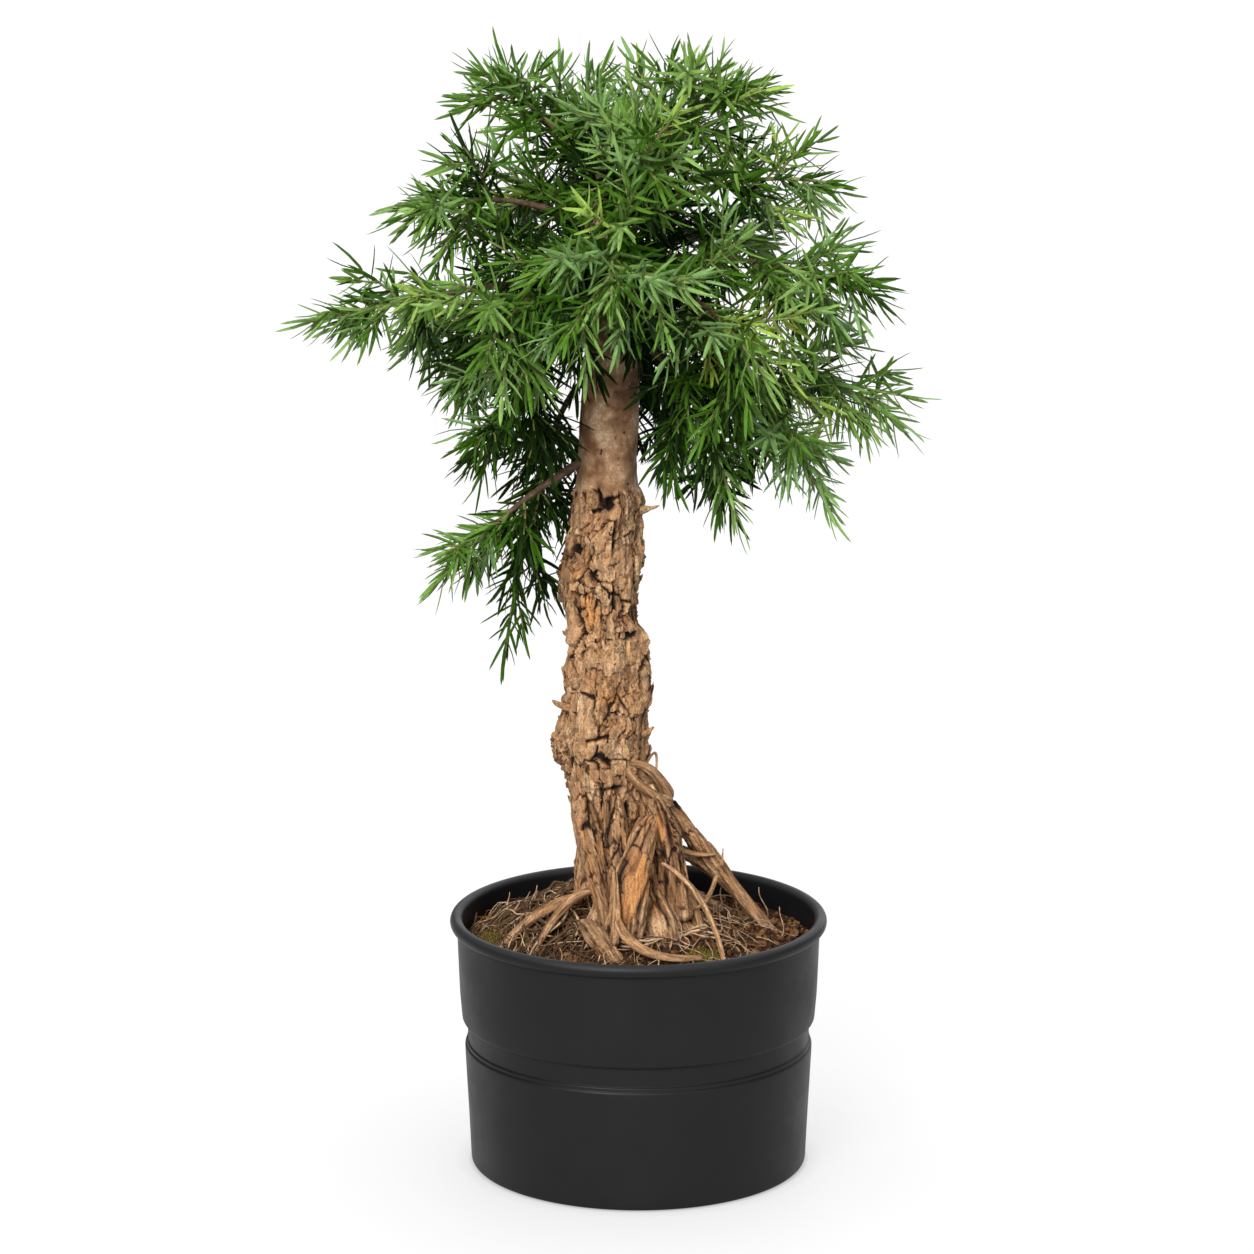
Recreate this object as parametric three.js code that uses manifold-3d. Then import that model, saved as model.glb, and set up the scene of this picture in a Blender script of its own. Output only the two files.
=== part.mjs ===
// A hoop pine bonsai with juvenile needles, in a round black nursery pot.
// Millimetres, +Z up, the origin at the middle of the pot's flat underside.
// The tree's front, with its bare root knuckle, faces -Y.

import * as THREE from "three";
import { mergeVertices } from "three/addons/utils/BufferGeometryUtils.js";
import Module from "manifold-3d";

const wasm = await Module();
wasm.setup();

// Driving dimensions
const POT_HEIGHT = 138.2;
const RIM_RADIUS = 98.45;
const RIM_HALF_WIDTH = 3.4;
const RIM_HALF_HEIGHT = 3.6;
const FLOOR_THICKNESS = 3.5;
const SOIL_LEVEL = 129;
const SOIL_SHOULDER = 126.8;
const SOIL_EDGE = 124;
const SOIL_SEAT_RADIUS = 46;
const SOIL_SHOULDER_RADIUS = 72;
const TRUNK_TOP = 548;
const TRUNK_STEP = 14;
const FLARE_OUT = 8;
const FLARE_HEIGHT = 13;
const ROOT_START = 0.55; // of the trunk's radius, so that a root grows out of its side
const ROOT_DIVE = 12; // below the soil's level, where the cut ends it
const ROOT_RISE = 0.6; // of a root's bow, upwards
const BOUGH_RADIUS = 2.6;
const BOUGH_RADIUS_PER_REACH = 0.014;
const STEM_RADIUS = 2;
const TWIG_RADIUS = 1.35;
const NEEDLE_LENGTH = 26;
const END_NEEDLE_LENGTH = 18;
const NEEDLE_LEAN = 50;
const NEEDLE_SPACING = 8;
const NEEDLE_TWIST = 43;
const SHOOT_LEAN = 56;
const SHOOT_BEND = 0.08;
const FIRST_SHOOT = 0.14; // along the stem, as the two shares below
const SHOOT_ZONE = 0.66;
const BARE_STEM = 0.3;
const GOLDEN_ANGLE = 137.508;
const SEED = 20240;

// Clearances: between touching pieces, between masses, and round a limb, a twig and a needle.
const GAP = 0.32;
const SPACE_MARGIN = 1;
const LIMB_ROOM = 1.2;
const NEEDLE_ROOM = 1.7;

// How finely each form is cut
const POT_SEGMENTS = 40;
const TRUNK_SIDES = 22;
const ROOT_SIDES = 7;
const ROOT_STEPS = 6;
const BOUGH_SIDES = 5;
const BOUGH_STEPS = 4;
const BOUGH_SAMPLES = 24;
const STEM_SAMPLES = 16;

// The trunk: height, where its middle lies, and its radius there.
const TRUNK = [
  { z: 129.3, x: -8, y: 0, r: 22 },
  { z: 156, x: -11, y: 0, r: 20 },
  { z: 190, x: -15, y: -1, r: 19.4 },
  { z: 214, x: -17, y: -1, r: 22.8 },
  { z: 234, x: -19.5, y: 0, r: 25.6 },
  { z: 258, x: -17.5, y: 1, r: 24.2 },
  { z: 300, x: -18.4, y: 2, r: 20.8 },
  { z: 326, x: -20.5, y: 1, r: 21.8 },
  { z: 366, x: -16, y: 0, r: 19.4 },
  { z: 371, x: -16.4, y: 0, r: 18.6 },
  { z: 375, x: -17.4, y: 0, r: 16 },
  { z: 430, x: -14.6, y: 0, r: 15 },
  { z: 480, x: -13, y: 2, r: 11.4 },
  { z: TRUNK_TOP, x: -20, y: 4, r: 4.4 },
];

// The roots: the side of the trunk that each leaves from and the height, where it enters the soil,
// how far its middle bows out, and its radius at each end.
const ROOTS = [
  { name: "root_prop_right", side: -22, height: 223, x: 77, y: 15, bow: 1, thick: 8, thin: 2.8 },
  { name: "root_knuckle_front", side: -58, height: 192, x: -13, y: -38, bow: 15, thick: 5.5, thin: 10 },
  { name: "root_bulb_front", side: -46, height: 168, x: 16, y: -36, bow: 7, thick: 5.5, thin: 11 },
  { name: "root_knob_front", side: -118, height: 152, x: -29, y: -43, bow: 5, thick: 5.5, thin: 7 },
  { name: "root_left_front", side: 196, height: 154, x: -77, y: 0, bow: 4, thick: 5.2, thin: 2.4 },
  { name: "root_left", side: 160, height: 150, x: -72, y: 34, bow: 4, thick: 5, thin: 2.4 },
  { name: "root_right_front", side: -16, height: 152, x: 49, y: -36, bow: 4, thick: 4.6, thin: 2.2 },
  { name: "root_right", side: 34, height: 160, x: 58, y: 48, bow: 3, thick: 6, thin: 3 },
  { name: "root_back", side: 74, height: 152, x: 16, y: 62, bow: 4, thick: 5.6, thin: 2.6 },
  { name: "root_back_left", side: 116, height: 150, x: -36, y: 60, bow: 4, thick: 5.4, thin: 2.6 },
];

// The masses of foliage: the height where the bough leaves the trunk, the side it grows to
// (0 is +X, 90 is +Y), how far from the trunk and how high its stem ends, how far the limb arches up,
// the share of the limb that is bare bough, and the number and length of its side shoots.
const MASS_KEYS = ["name", "from", "side", "out", "tip", "arch", "bare", "shoots", "grow"];
const MASSES = [
  ["top", 548, 182, 27, 577, 10, 0, 4, 34],
  ["top_left", 530, 186, 66, 593, 9, 0.3, 5, 30],
  ["top_right", 526, -12, 78, 589, 12, 0.3, 5, 40],
  ["top_back", 518, 62, 74, 556, 12, 0.3, 5, 42],
  ["top_front", 516, -72, 84, 546, 16, 0.3, 5, 42],
  ["left_upper", 506, 192, 110, 520, 14, 0.36, 5, 38],
  ["right_upper", 508, -6, 117, 536, 12, 0.36, 5, 34],
  ["back_upper", 500, 118, 118, 516, 14, 0.36, 5, 42],
  ["left_far", 486, 186, 158, 464, 4, 0.46, 5, 30],
  ["right", 490, -18, 147, 480, 12, 0.4, 5, 44],
  ["back_right", 484, 46, 128, 486, 14, 0.38, 5, 40],
  ["front", 488, -90, 110, 486, 22, 0.34, 6, 54],
  ["front_left", 478, 232, 112, 456, 20, 0.38, 5, 50],
  ["front_right", 474, -50, 122, 446, 22, 0.38, 5, 52],
  ["back", 470, 92, 128, 456, 18, 0.38, 5, 54],
  ["back_left", 466, 148, 130, 434, 16, 0.38, 5, 50],
  ["right_low", 462, -6, 154, 408, 14, 0.42, 5, 38],
  ["right_hanging", 452, -20, 122, 366, 36, 0.42, 5, 44],
  ["front_low", 444, -38, 83, 366, 34, 0.4, 5, 42],
  ["back_low", 448, 62, 84, 372, 34, 0.4, 5, 46],
  ["left_low", 456, 196, 72, 382, 28, 0.4, 6, 44],
  ["left_hanging", 393, 194, 92, 326, 8, 0.42, 3, 26],
  ["left_trailing", 424, 150, 66, 276, 54, 0.4, 6, 46],
].map((row) => Object.fromEntries(row.map((value, i) => [MASS_KEYS[i], value])));

const BARK = new THREE.MeshStandardMaterial({ color: 0x8c6a48, roughness: 0.92, metalness: 0 });
const ROOT_WOOD = new THREE.MeshStandardMaterial({ color: 0x96734e, roughness: 0.9, metalness: 0 });
const BOUGH_BARK = new THREE.MeshStandardMaterial({ color: 0x6f5540, roughness: 0.9, metalness: 0 });
const NEEDLES = new THREE.MeshStandardMaterial({ color: 0x3f6b34, roughness: 0.6, metalness: 0 });
const BLACK_PLASTIC = new THREE.MeshStandardMaterial({ color: 0x232527, roughness: 0.5, metalness: 0 });
const SOIL = new THREE.MeshStandardMaterial({ color: 0x4a3020, roughness: 1, metalness: 0 });

const bonsai = new THREE.Group();
bonsai.name = "hoop_pine_bonsai";

const radians = THREE.MathUtils.degToRad;

function addMesh(name, geometry, material) {
  const mesh = new THREE.Mesh(geometry, material);
  mesh.name = name;
  bonsai.add(mesh);
}

// Solids: a closed geometry becomes a solid for the cuts and joins, and back.
function solidOf(geometry) {
  const bare = new THREE.BufferGeometry();
  bare.setAttribute("position", geometry.getAttribute("position"));
  if (geometry.index) bare.setIndex(geometry.index);
  const merged = mergeVertices(bare, 1e-4);
  const vertProperties = merged.attributes.position.array;
  const triVerts = new Uint32Array(merged.index.array);
  return new wasm.Manifold(new wasm.Mesh({ numProp: 3, vertProperties, triVerts }));
}

function geometryOf(solid) {
  const mesh = solid.getMesh();
  const geometry = new THREE.BufferGeometry();
  geometry.setAttribute("position", new THREE.BufferAttribute(mesh.vertProperties, 3));
  geometry.setIndex(new THREE.BufferAttribute(mesh.triVerts, 1));
  geometry.computeVertexNormals();
  return geometry;
}

function largestBody(solid) {
  const bodies = solid.decompose();
  return bodies.reduce((best, body) => (body.volume() > best.volume() ? body : best));
}

function cutAway(solid, cutters) {
  const left = cutters.reduce((rest, cutter) => rest.subtract(cutter), solid);
  return largestBody(left);
}

// A seeded generator, so that the crown grows the same way every time.
function seededRandom(seed) {
  let state = seed >>> 0;
  return () => {
    state = (Math.imul(state, 1664525) + 1013904223) >>> 0;
    return state / 4294967296;
  };
}

// The pot: a thin shell with a rolled rim, a recessed band and a flat underside.
function lathe(profile) {
  const points = profile.map(([radius, height]) => new THREE.Vector2(radius, height));
  return solidOf(new THREE.LatheGeometry(points, POT_SEGMENTS).rotateX(Math.PI / 2));
}

function rimArc(fromDegrees, toDegrees, steps) {
  const middle = POT_HEIGHT - RIM_HALF_HEIGHT;
  return Array.from({ length: steps + 1 }, (_, i) => {
    const angle = radians(fromDegrees + ((toDegrees - fromDegrees) * i) / steps);
    return [
      RIM_RADIUS + RIM_HALF_WIDTH * Math.cos(angle),
      middle + RIM_HALF_HEIGHT * Math.sin(angle),
    ];
  });
}

const POT_INSIDE = [
  [95, 131],
  [93.4, 84],
  [90.2, 79],
  [89.6, 66],
  [88.6, 8],
  [86, FLOOR_THICKNESS],
];

function makePot() {
  const outside = [
    [0, 0],
    [88, 0],
    [90.6, 1.4],
    [91.3, 5],
    [94.1, 65],
    [92.5, 68.6],
    [92.8, 79.8],
    [95, 81.2],
    [95.9, 84],
    [98.2, 130.6],
  ];
  const rim = rimArc(-60, 180, 5);
  return lathe([...outside, ...rim, ...POT_INSIDE, [0, FLOOR_THICKNESS]]);
}

// The soil: it fills the pot and mounds up to a flat seat under the trunk.
function makeSoil(grown) {
  const fit = GAP - grown;
  const side = POT_INSIDE.slice(1).reverse();
  const isFloor = (height) => height === FLOOR_THICKNESS;
  const wall = side.map(([radius, height]) => [radius - fit, isFloor(height) ? height + fit : height]);
  const [rimRadius, rimFoot] = POT_INSIDE[0];
  const [stepRadius, stepHeight] = POT_INSIDE[1];
  const climb = (SOIL_EDGE - stepHeight) / (rimFoot - stepHeight);
  const edgeRadius = THREE.MathUtils.lerp(stepRadius, rimRadius, climb) - fit;
  return lathe([
    [0, FLOOR_THICKNESS + fit],
    ...wall,
    [edgeRadius, SOIL_EDGE + grown],
    [SOIL_SHOULDER_RADIUS, SOIL_SHOULDER + grown],
    [SOIL_SEAT_RADIUS, SOIL_LEVEL + grown],
    [0, SOIL_LEVEL + grown],
  ]);
}

// The trunk's middle and radius at a height, in straight lines between the stations.
function trunkAt(z) {
  const last = TRUNK.length - 1;
  let i = 0;
  while (i < last - 1 && TRUNK[i + 1].z < z) i++;
  const [low, high] = [TRUNK[i], TRUNK[i + 1]];
  const share = THREE.MathUtils.clamp((z - low.z) / (high.z - low.z), 0, 1);
  const blend = (key) => low[key] + (high[key] - low[key]) * share;
  return { x: blend("x"), y: blend("y"), r: blend("r") };
}

// The trunk is lobed rather than round, and flares towards its roots at the foot.
function trunkRadius(z, angle, grown) {
  const { r } = trunkAt(z);
  const age = THREE.MathUtils.clamp((460 - z) / 100, 0.15, 1);
  const lobes = 0.05 * Math.sin(3 * angle + z / 19) + 0.035 * Math.sin(5 * angle - z / 12);
  const ribs = 1 + 0.5 * Math.cos(4 * angle + 0.6);
  const flare = FLARE_OUT * Math.exp(-(z - SOIL_LEVEL) / FLARE_HEIGHT) * ribs;
  return r * (1 + lobes * age) + flare + grown;
}

function makeTrunk(grown) {
  const heights = TRUNK.flatMap((station, i) => {
    const next = TRUNK[i + 1];
    if (!next) return [station.z];
    const steps = Math.max(1, Math.round((next.z - station.z) / TRUNK_STEP));
    return Array.from({ length: steps }, (_, k) => station.z + ((next.z - station.z) * k) / steps);
  });
  const shape = new THREE.CylinderGeometry(1, 1, 1, TRUNK_SIDES, heights.length - 1);
  const position = shape.getAttribute("position");
  for (let i = 0; i < position.count; i++) {
    const z = heights[Math.round((position.getY(i) + 0.5) * (heights.length - 1))];
    const [across, away] = [position.getX(i), -position.getZ(i)];
    const radius = trunkRadius(z, Math.atan2(away, across), grown);
    const middle = trunkAt(z);
    position.setXYZ(i, middle.x + across * radius, middle.y + away * radius, z);
  }
  return solidOf(shape);
}

// Limbs: a curve with a frame carried along it, and a closed tube that tapers by a function.
function framesAlong(curve, from, to, steps) {
  const frames = [];
  for (let i = 0; i <= steps; i++) {
    const t = from + ((to - from) * i) / steps;
    const point = curve.getPoint(t);
    const along = curve.getTangent(t);
    const before = frames[i - 1]?.side ?? firstSide(along);
    const side = before.clone().addScaledVector(along, -before.dot(along)).normalize();
    const lift = side.clone().cross(along);
    frames.push({ point, along, side, lift });
  }
  return frames;
}

function firstSide(along) {
  const upright = Math.abs(along.z) > 0.9;
  const reference = upright ? new THREE.Vector3(1, 0, 0) : new THREE.Vector3(0, 0, 1);
  return along.clone().cross(reference).normalize();
}

function tubeOf(frames, sides, radiusAt) {
  const steps = frames.length - 1;
  const shape = new THREE.CylinderGeometry(1, 1, 1, sides, steps);
  const position = shape.getAttribute("position");
  const vertex = new THREE.Vector3();
  for (let i = 0; i < position.count; i++) {
    const share = position.getY(i) + 0.5;
    const { point, side, lift } = frames[Math.round(share * steps)];
    const radius = radiusAt(share);
    vertex.copy(point);
    vertex.addScaledVector(side, position.getX(i) * radius);
    vertex.addScaledVector(lift, position.getZ(i) * radius);
    position.setXYZ(i, vertex.x, vertex.y, vertex.z);
  }
  return solidOf(shape);
}

// A root bows out from inside the trunk and dives into the soil.
function rootCurve(root) {
  const angle = radians(root.side);
  const { x, y, r } = trunkAt(root.height);
  const inside = r * ROOT_START;
  const start = new THREE.Vector3(
    x + inside * Math.cos(angle),
    y + inside * Math.sin(angle),
    root.height,
  );
  const end = new THREE.Vector3(root.x, root.y, SOIL_LEVEL - ROOT_DIVE);
  const middle = start.clone().lerp(end, 0.5);
  middle.x += root.bow * Math.cos(angle);
  middle.y += root.bow * Math.sin(angle);
  middle.z += root.bow * ROOT_RISE;
  return new THREE.QuadraticBezierCurve3(start, middle, end);
}

function makeRoot(root, grown) {
  const frames = framesAlong(rootCurve(root), 0, 1, ROOT_STEPS);
  const taper = (share) => root.thick + (root.thin - root.thick) * share ** 0.6 + grown;
  return tubeOf(frames, ROOT_SIDES, taper);
}

// A limb runs from the trunk's middle to the tip of its mass: the bough first, then the mass's stem.
// The leader has no bough and rises straight from the trunk's tip before it leans.
function limbCurve(mass) {
  const angle = radians(mass.side);
  const { x, y } = trunkAt(mass.from);
  const start = new THREE.Vector3(x, y, mass.from);
  const end = new THREE.Vector3(
    x + mass.out * Math.cos(angle),
    y + mass.out * Math.sin(angle),
    mass.tip,
  );
  const isLeader = mass.bare === 0;
  const middle = start.clone().lerp(end, isLeader ? 0 : 0.5);
  middle.z += mass.arch * 2;
  return new THREE.QuadraticBezierCurve3(start, middle, end);
}

function boughRadius(mass, t) {
  const thick = BOUGH_RADIUS + mass.out * BOUGH_RADIUS_PER_REACH;
  return THREE.MathUtils.lerp(thick, STEM_RADIUS, Math.min(t / mass.bare, 1));
}

const curves = new Map(MASSES.map((mass) => [mass.name, limbCurve(mass)]));
const stemPoints = new Map(
  MASSES.map((mass) => {
    const curve = curves.get(mass.name);
    const at = (i) => curve.getPoint(THREE.MathUtils.lerp(mass.bare, 1, i / STEM_SAMPLES));
    return [mass.name, Array.from({ length: STEM_SAMPLES + 1 }, (_, i) => at(i))];
  }),
);

// What a mass has to stay clear of: the trunk and every bough, as points with a radius.
const LIMB_POINTS = [];
const lowestFoliage = 240;
const belowTip = 12;
for (let z = lowestFoliage; z <= TRUNK_TOP - belowTip; z += 4) {
  const { x, y, r } = trunkAt(z);
  LIMB_POINTS.push({ name: "trunk", point: new THREE.Vector3(x, y, z), radius: r * 1.08 });
}
for (const mass of MASSES) {
  for (let i = 0; i <= BOUGH_SAMPLES && mass.bare > 0; i++) {
    const t = (mass.bare * i) / BOUGH_SAMPLES;
    const point = curves.get(mass.name).getPoint(t);
    LIMB_POINTS.push({ name: mass.name, point, radius: boughRadius(mass, t) });
  }
}

// A mass's own space: every point nearer to its stem than to another's.
function nearest(point, others) {
  return Math.min(...others.map((other) => other.distanceTo(point)));
}

function inOwnSpace(point, mass) {
  const own = nearest(point, stemPoints.get(mass.name));
  return MASSES.every(
    ({ name }) => name === mass.name || nearest(point, stemPoints.get(name)) > own + SPACE_MARGIN,
  );
}

function staysInOwnSpace(from, to, mass) {
  const shares = [0.3, 0.55, 0.8, 1];
  return shares.every((share) => inOwnSpace(from.clone().lerp(to, share), mass));
}

function clearOfLimbs(from, to, mass, margin) {
  const point = new THREE.Vector3();
  const samples = 8;
  for (let i = 0; i <= samples; i++) {
    point.lerpVectors(from, to, i / samples);
    const touches = LIMB_POINTS.some(
      (limb) => limb.name !== mass.name && limb.point.distanceTo(point) < limb.radius + margin,
    );
    if (touches) return false;
  }
  return true;
}

// A needle is also left out where it would cross another spray: each of its edges keeps some room
// to every twig and every needle edge that is already there.
function clearOfSprays(edges, taken, name) {
  const closest = new THREE.Vector3();
  const shares = [0.12, 0.3, 0.5, 0.7, 0.85, 1];
  const others = taken.filter((edge) => edge.name !== name);
  return edges.every((edge) =>
    shares.every((share) => {
      const point = edge.at(share, new THREE.Vector3());
      return others.every(
        ({ line }) => line.closestPointToPoint(point, true, closest).distanceTo(point) > NEEDLE_ROOM,
      );
    }),
  );
}

// A spray: a slim three-sided twig whose sides are drawn out into needles that lean forward.
// It stops short where its own space ends, and a needle that would leave it isn't drawn out.
function makeSpray(spray, mass, taken) {
  const { name, frames, bareSteps, roll, radiusAt } = spray;
  const steps = frames.length - 1;
  const corners = [];
  for (let i = 0; i <= steps; i++) {
    const { point, side, lift } = frames[i];
    const radius = radiusAt(i / steps);
    const ring = [0, 1, 2].map((k) => {
      const angle = radians(roll + i * NEEDLE_TWIST + k * 120);
      return point
        .clone()
        .addScaledVector(side, Math.cos(angle) * radius)
        .addScaledVector(lift, Math.sin(angle) * radius);
    });
    const fits = ring.every((corner) => inOwnSpace(corner, mass));
    const free = i === 0 || clearOfLimbs(frames[i - 1].point, point, mass, radius + LIMB_ROOM);
    if (!fits || !free) break;
    corners.push(ring);
  }
  if (corners.length < 3) return null;

  const triangles = [];
  const addFace = (...points) => triangles.push(...points.flatMap((p) => [p.x, p.y, p.z]));
  const canGrow = (root, tip, edges) =>
    staysInOwnSpace(root, tip, mass) &&
    clearOfLimbs(root, tip, mass, LIMB_ROOM) &&
    clearOfSprays(edges, taken, name);
  const lean = radians(NEEDLE_LEAN);
  const last = corners.length - 1;
  for (let i = 0; i < last; i++) {
    const { along, point } = frames[i];
    for (let k = 0; k < 3; k++) {
      const quad = [
        corners[i][k],
        corners[i + 1][k],
        corners[i + 1][(k + 1) % 3],
        corners[i][(k + 1) % 3],
      ];
      const back = quad[0].clone().lerp(quad[3], 0.5);
      const front = quad[1].clone().lerp(quad[2], 0.5);
      const root = back.clone().lerp(front, 0.5);
      const outward = root.clone().sub(point);
      outward.addScaledVector(along, -outward.dot(along)).normalize();
      const needle = outward.multiplyScalar(Math.sin(lean)).addScaledVector(along, Math.cos(lean));
      const tip = root.clone().addScaledVector(needle, NEEDLE_LENGTH);
      const edges = [new THREE.Line3(back, tip), new THREE.Line3(front, tip)];
      if (i >= bareSteps && canGrow(root, tip, edges)) {
        edges.forEach((line) => taken.push({ name, line }));
        quad.forEach((p, n) => addFace(p, quad[(n + 1) % 4], tip));
      } else {
        addFace(quad[0], quad[1], quad[2]);
        addFace(quad[0], quad[2], quad[3]);
      }
    }
  }
  const { point, along } = frames[last];
  const blunt = point.clone().addScaledVector(along, TWIG_RADIUS);
  const sharp = point.clone().addScaledVector(along, END_NEEDLE_LENGTH);
  const end = canGrow(blunt, sharp, [new THREE.Line3(blunt, sharp)]) ? sharp : blunt;
  for (let k = 0; k < 3; k++) addFace(corners[last][k], end, corners[last][(k + 1) % 3]);
  addFace(corners[0][0], corners[0][1], corners[0][2]);

  const geometry = new THREE.BufferGeometry();
  geometry.setAttribute("position", new THREE.Float32BufferAttribute(triangles, 3));
  return solidOf(geometry);
}

// A mass's skeleton: its stem, bare at the foot, and the side shoots that leave it in a spiral.
function skeletonOf(mass, index) {
  const random = seededRandom(SEED + index * 977);
  const curve = curves.get(mass.name);
  const length = curve.getLength();
  const start = mass.bare + GAP / length;
  const stemLength = length * (1 - start);
  const stemSteps = Math.max(4, Math.round(stemLength / NEEDLE_SPACING));
  const stem = {
    name: "stem",
    frames: framesAlong(curve, start, 1, stemSteps),
    bareSteps: Math.round(stemSteps * BARE_STEM),
    roll: random() * 120,
    radiusAt: (share) => THREE.MathUtils.lerp(STEM_RADIUS, TWIG_RADIUS, share),
  };
  const shoots = Array.from({ length: mass.shoots }, (_, s) => {
    const share = FIRST_SHOOT + (SHOOT_ZONE * (s + 0.35 * random())) / mass.shoots;
    const foot = stem.frames[Math.round(share * stemSteps)];
    const roll = radians(s * GOLDEN_ANGLE + 40 * random() + index * 61);
    const lean = radians(SHOOT_LEAN + 12 * (random() - 0.5));
    const heading = foot.side
      .clone()
      .multiplyScalar(Math.cos(roll) * Math.sin(lean))
      .addScaledVector(foot.lift, Math.sin(roll) * Math.sin(lean))
      .addScaledVector(foot.along, Math.cos(lean));
    const shootLength = mass.grow * (1 - 0.35 * share) * (0.85 + 0.3 * random());
    const end = foot.point.clone().addScaledVector(heading, shootLength);
    const middle = foot.point.clone().lerp(end, 0.5);
    middle.addScaledVector(foot.along, -SHOOT_BEND * shootLength);
    const shoot = new THREE.QuadraticBezierCurve3(foot.point, middle, end);
    const steps = Math.max(3, Math.round(shootLength / NEEDLE_SPACING));
    return {
      name: "shoot_" + s,
      frames: framesAlong(shoot, 0, 1, steps),
      bareSteps: 1,
      roll: random() * 120,
      radiusAt: () => TWIG_RADIUS,
    };
  });
  return [stem, ...shoots];
}

function makeMass(mass, index) {
  const sprays = skeletonOf(mass, index);
  const taken = sprays.flatMap(({ name, frames }) =>
    frames.slice(1).map(({ point }, i) => ({ name, line: new THREE.Line3(frames[i].point, point) })),
  );
  const grown = sprays.map((spray) => makeSpray(spray, mass, taken)).filter(Boolean);
  return largestBody(grown.reduce((whole, spray) => whole.add(spray)));
}

addMesh("pot", geometryOf(makePot()), BLACK_PLASTIC);
addMesh("soil", geometryOf(makeSoil(0)), SOIL);
addMesh("trunk", geometryOf(makeTrunk(0)), BARK);

const aroundTrunk = makeTrunk(GAP);
const aroundSoil = makeSoil(GAP);
const earlierRoots = [];
for (const root of ROOTS) {
  const solid = cutAway(makeRoot(root, 0), [aroundTrunk, aroundSoil, ...earlierRoots]);
  addMesh(root.name, geometryOf(solid), ROOT_WOOD);
  earlierRoots.push(makeRoot(root, GAP));
}

const earlierBoughs = [];
MASSES.forEach((mass, index) => {
  if (mass.bare > 0) {
    const frames = framesAlong(curves.get(mass.name), 0, mass.bare, BOUGH_STEPS);
    const taper = (grown) => (share) => boughRadius(mass, share * mass.bare) + grown;
    const bough = tubeOf(frames, BOUGH_SIDES, taper(0));
    const solid = cutAway(bough, [aroundTrunk, ...earlierBoughs]);
    addMesh("bough_" + mass.name, geometryOf(solid), BOUGH_BARK);
    earlierBoughs.push(tubeOf(frames, BOUGH_SIDES, taper(GAP)));
  }
  addMesh("foliage_" + mass.name, geometryOf(makeMass(mass, index)), NEEDLES);
});

export default bonsai;
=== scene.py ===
# A hoop pine bonsai with juvenile needles, in a round black nursery pot.
# Shapes are worked out in millimetres, and each mesh is made in metres in the frame of the CAD model.
import math

import bpy
import numpy as np
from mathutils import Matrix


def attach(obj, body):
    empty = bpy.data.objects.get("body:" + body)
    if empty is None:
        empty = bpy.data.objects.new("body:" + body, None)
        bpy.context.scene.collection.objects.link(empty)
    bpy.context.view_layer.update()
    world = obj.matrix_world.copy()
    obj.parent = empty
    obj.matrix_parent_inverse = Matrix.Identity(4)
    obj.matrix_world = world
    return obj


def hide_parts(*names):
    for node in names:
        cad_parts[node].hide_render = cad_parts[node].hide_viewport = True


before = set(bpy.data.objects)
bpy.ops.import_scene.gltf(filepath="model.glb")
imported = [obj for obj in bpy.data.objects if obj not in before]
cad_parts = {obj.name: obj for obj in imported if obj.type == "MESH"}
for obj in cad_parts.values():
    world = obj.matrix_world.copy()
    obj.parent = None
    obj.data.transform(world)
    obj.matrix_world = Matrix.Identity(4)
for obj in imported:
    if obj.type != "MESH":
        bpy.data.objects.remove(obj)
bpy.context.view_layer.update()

mm = 0.001
fullTurn = 2 * math.pi
goldenAngle = 137.508
seamWidth = 1e-6  # metres within which a seam's two edges are one
limbSmoothing = 50  # degrees up to which an edge of a limb looks smooth


# Shaders. A wire is a socket that can be used in sums; a board is one material's node tree.
class Wire:
    def __init__(self, board, socket):
        self.board = board
        self.socket = socket

    def calculate(self, operation, first, second):
        return self.board.node("ShaderNodeMath", {"operation": operation}, {0: first, 1: second})

    def __add__(self, other):
        return self.calculate("ADD", self, other)

    def __radd__(self, other):
        return self.calculate("ADD", other, self)

    def __mul__(self, other):
        return self.calculate("MULTIPLY", self, other)

    def __rmul__(self, other):
        return self.calculate("MULTIPLY", other, self)


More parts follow.
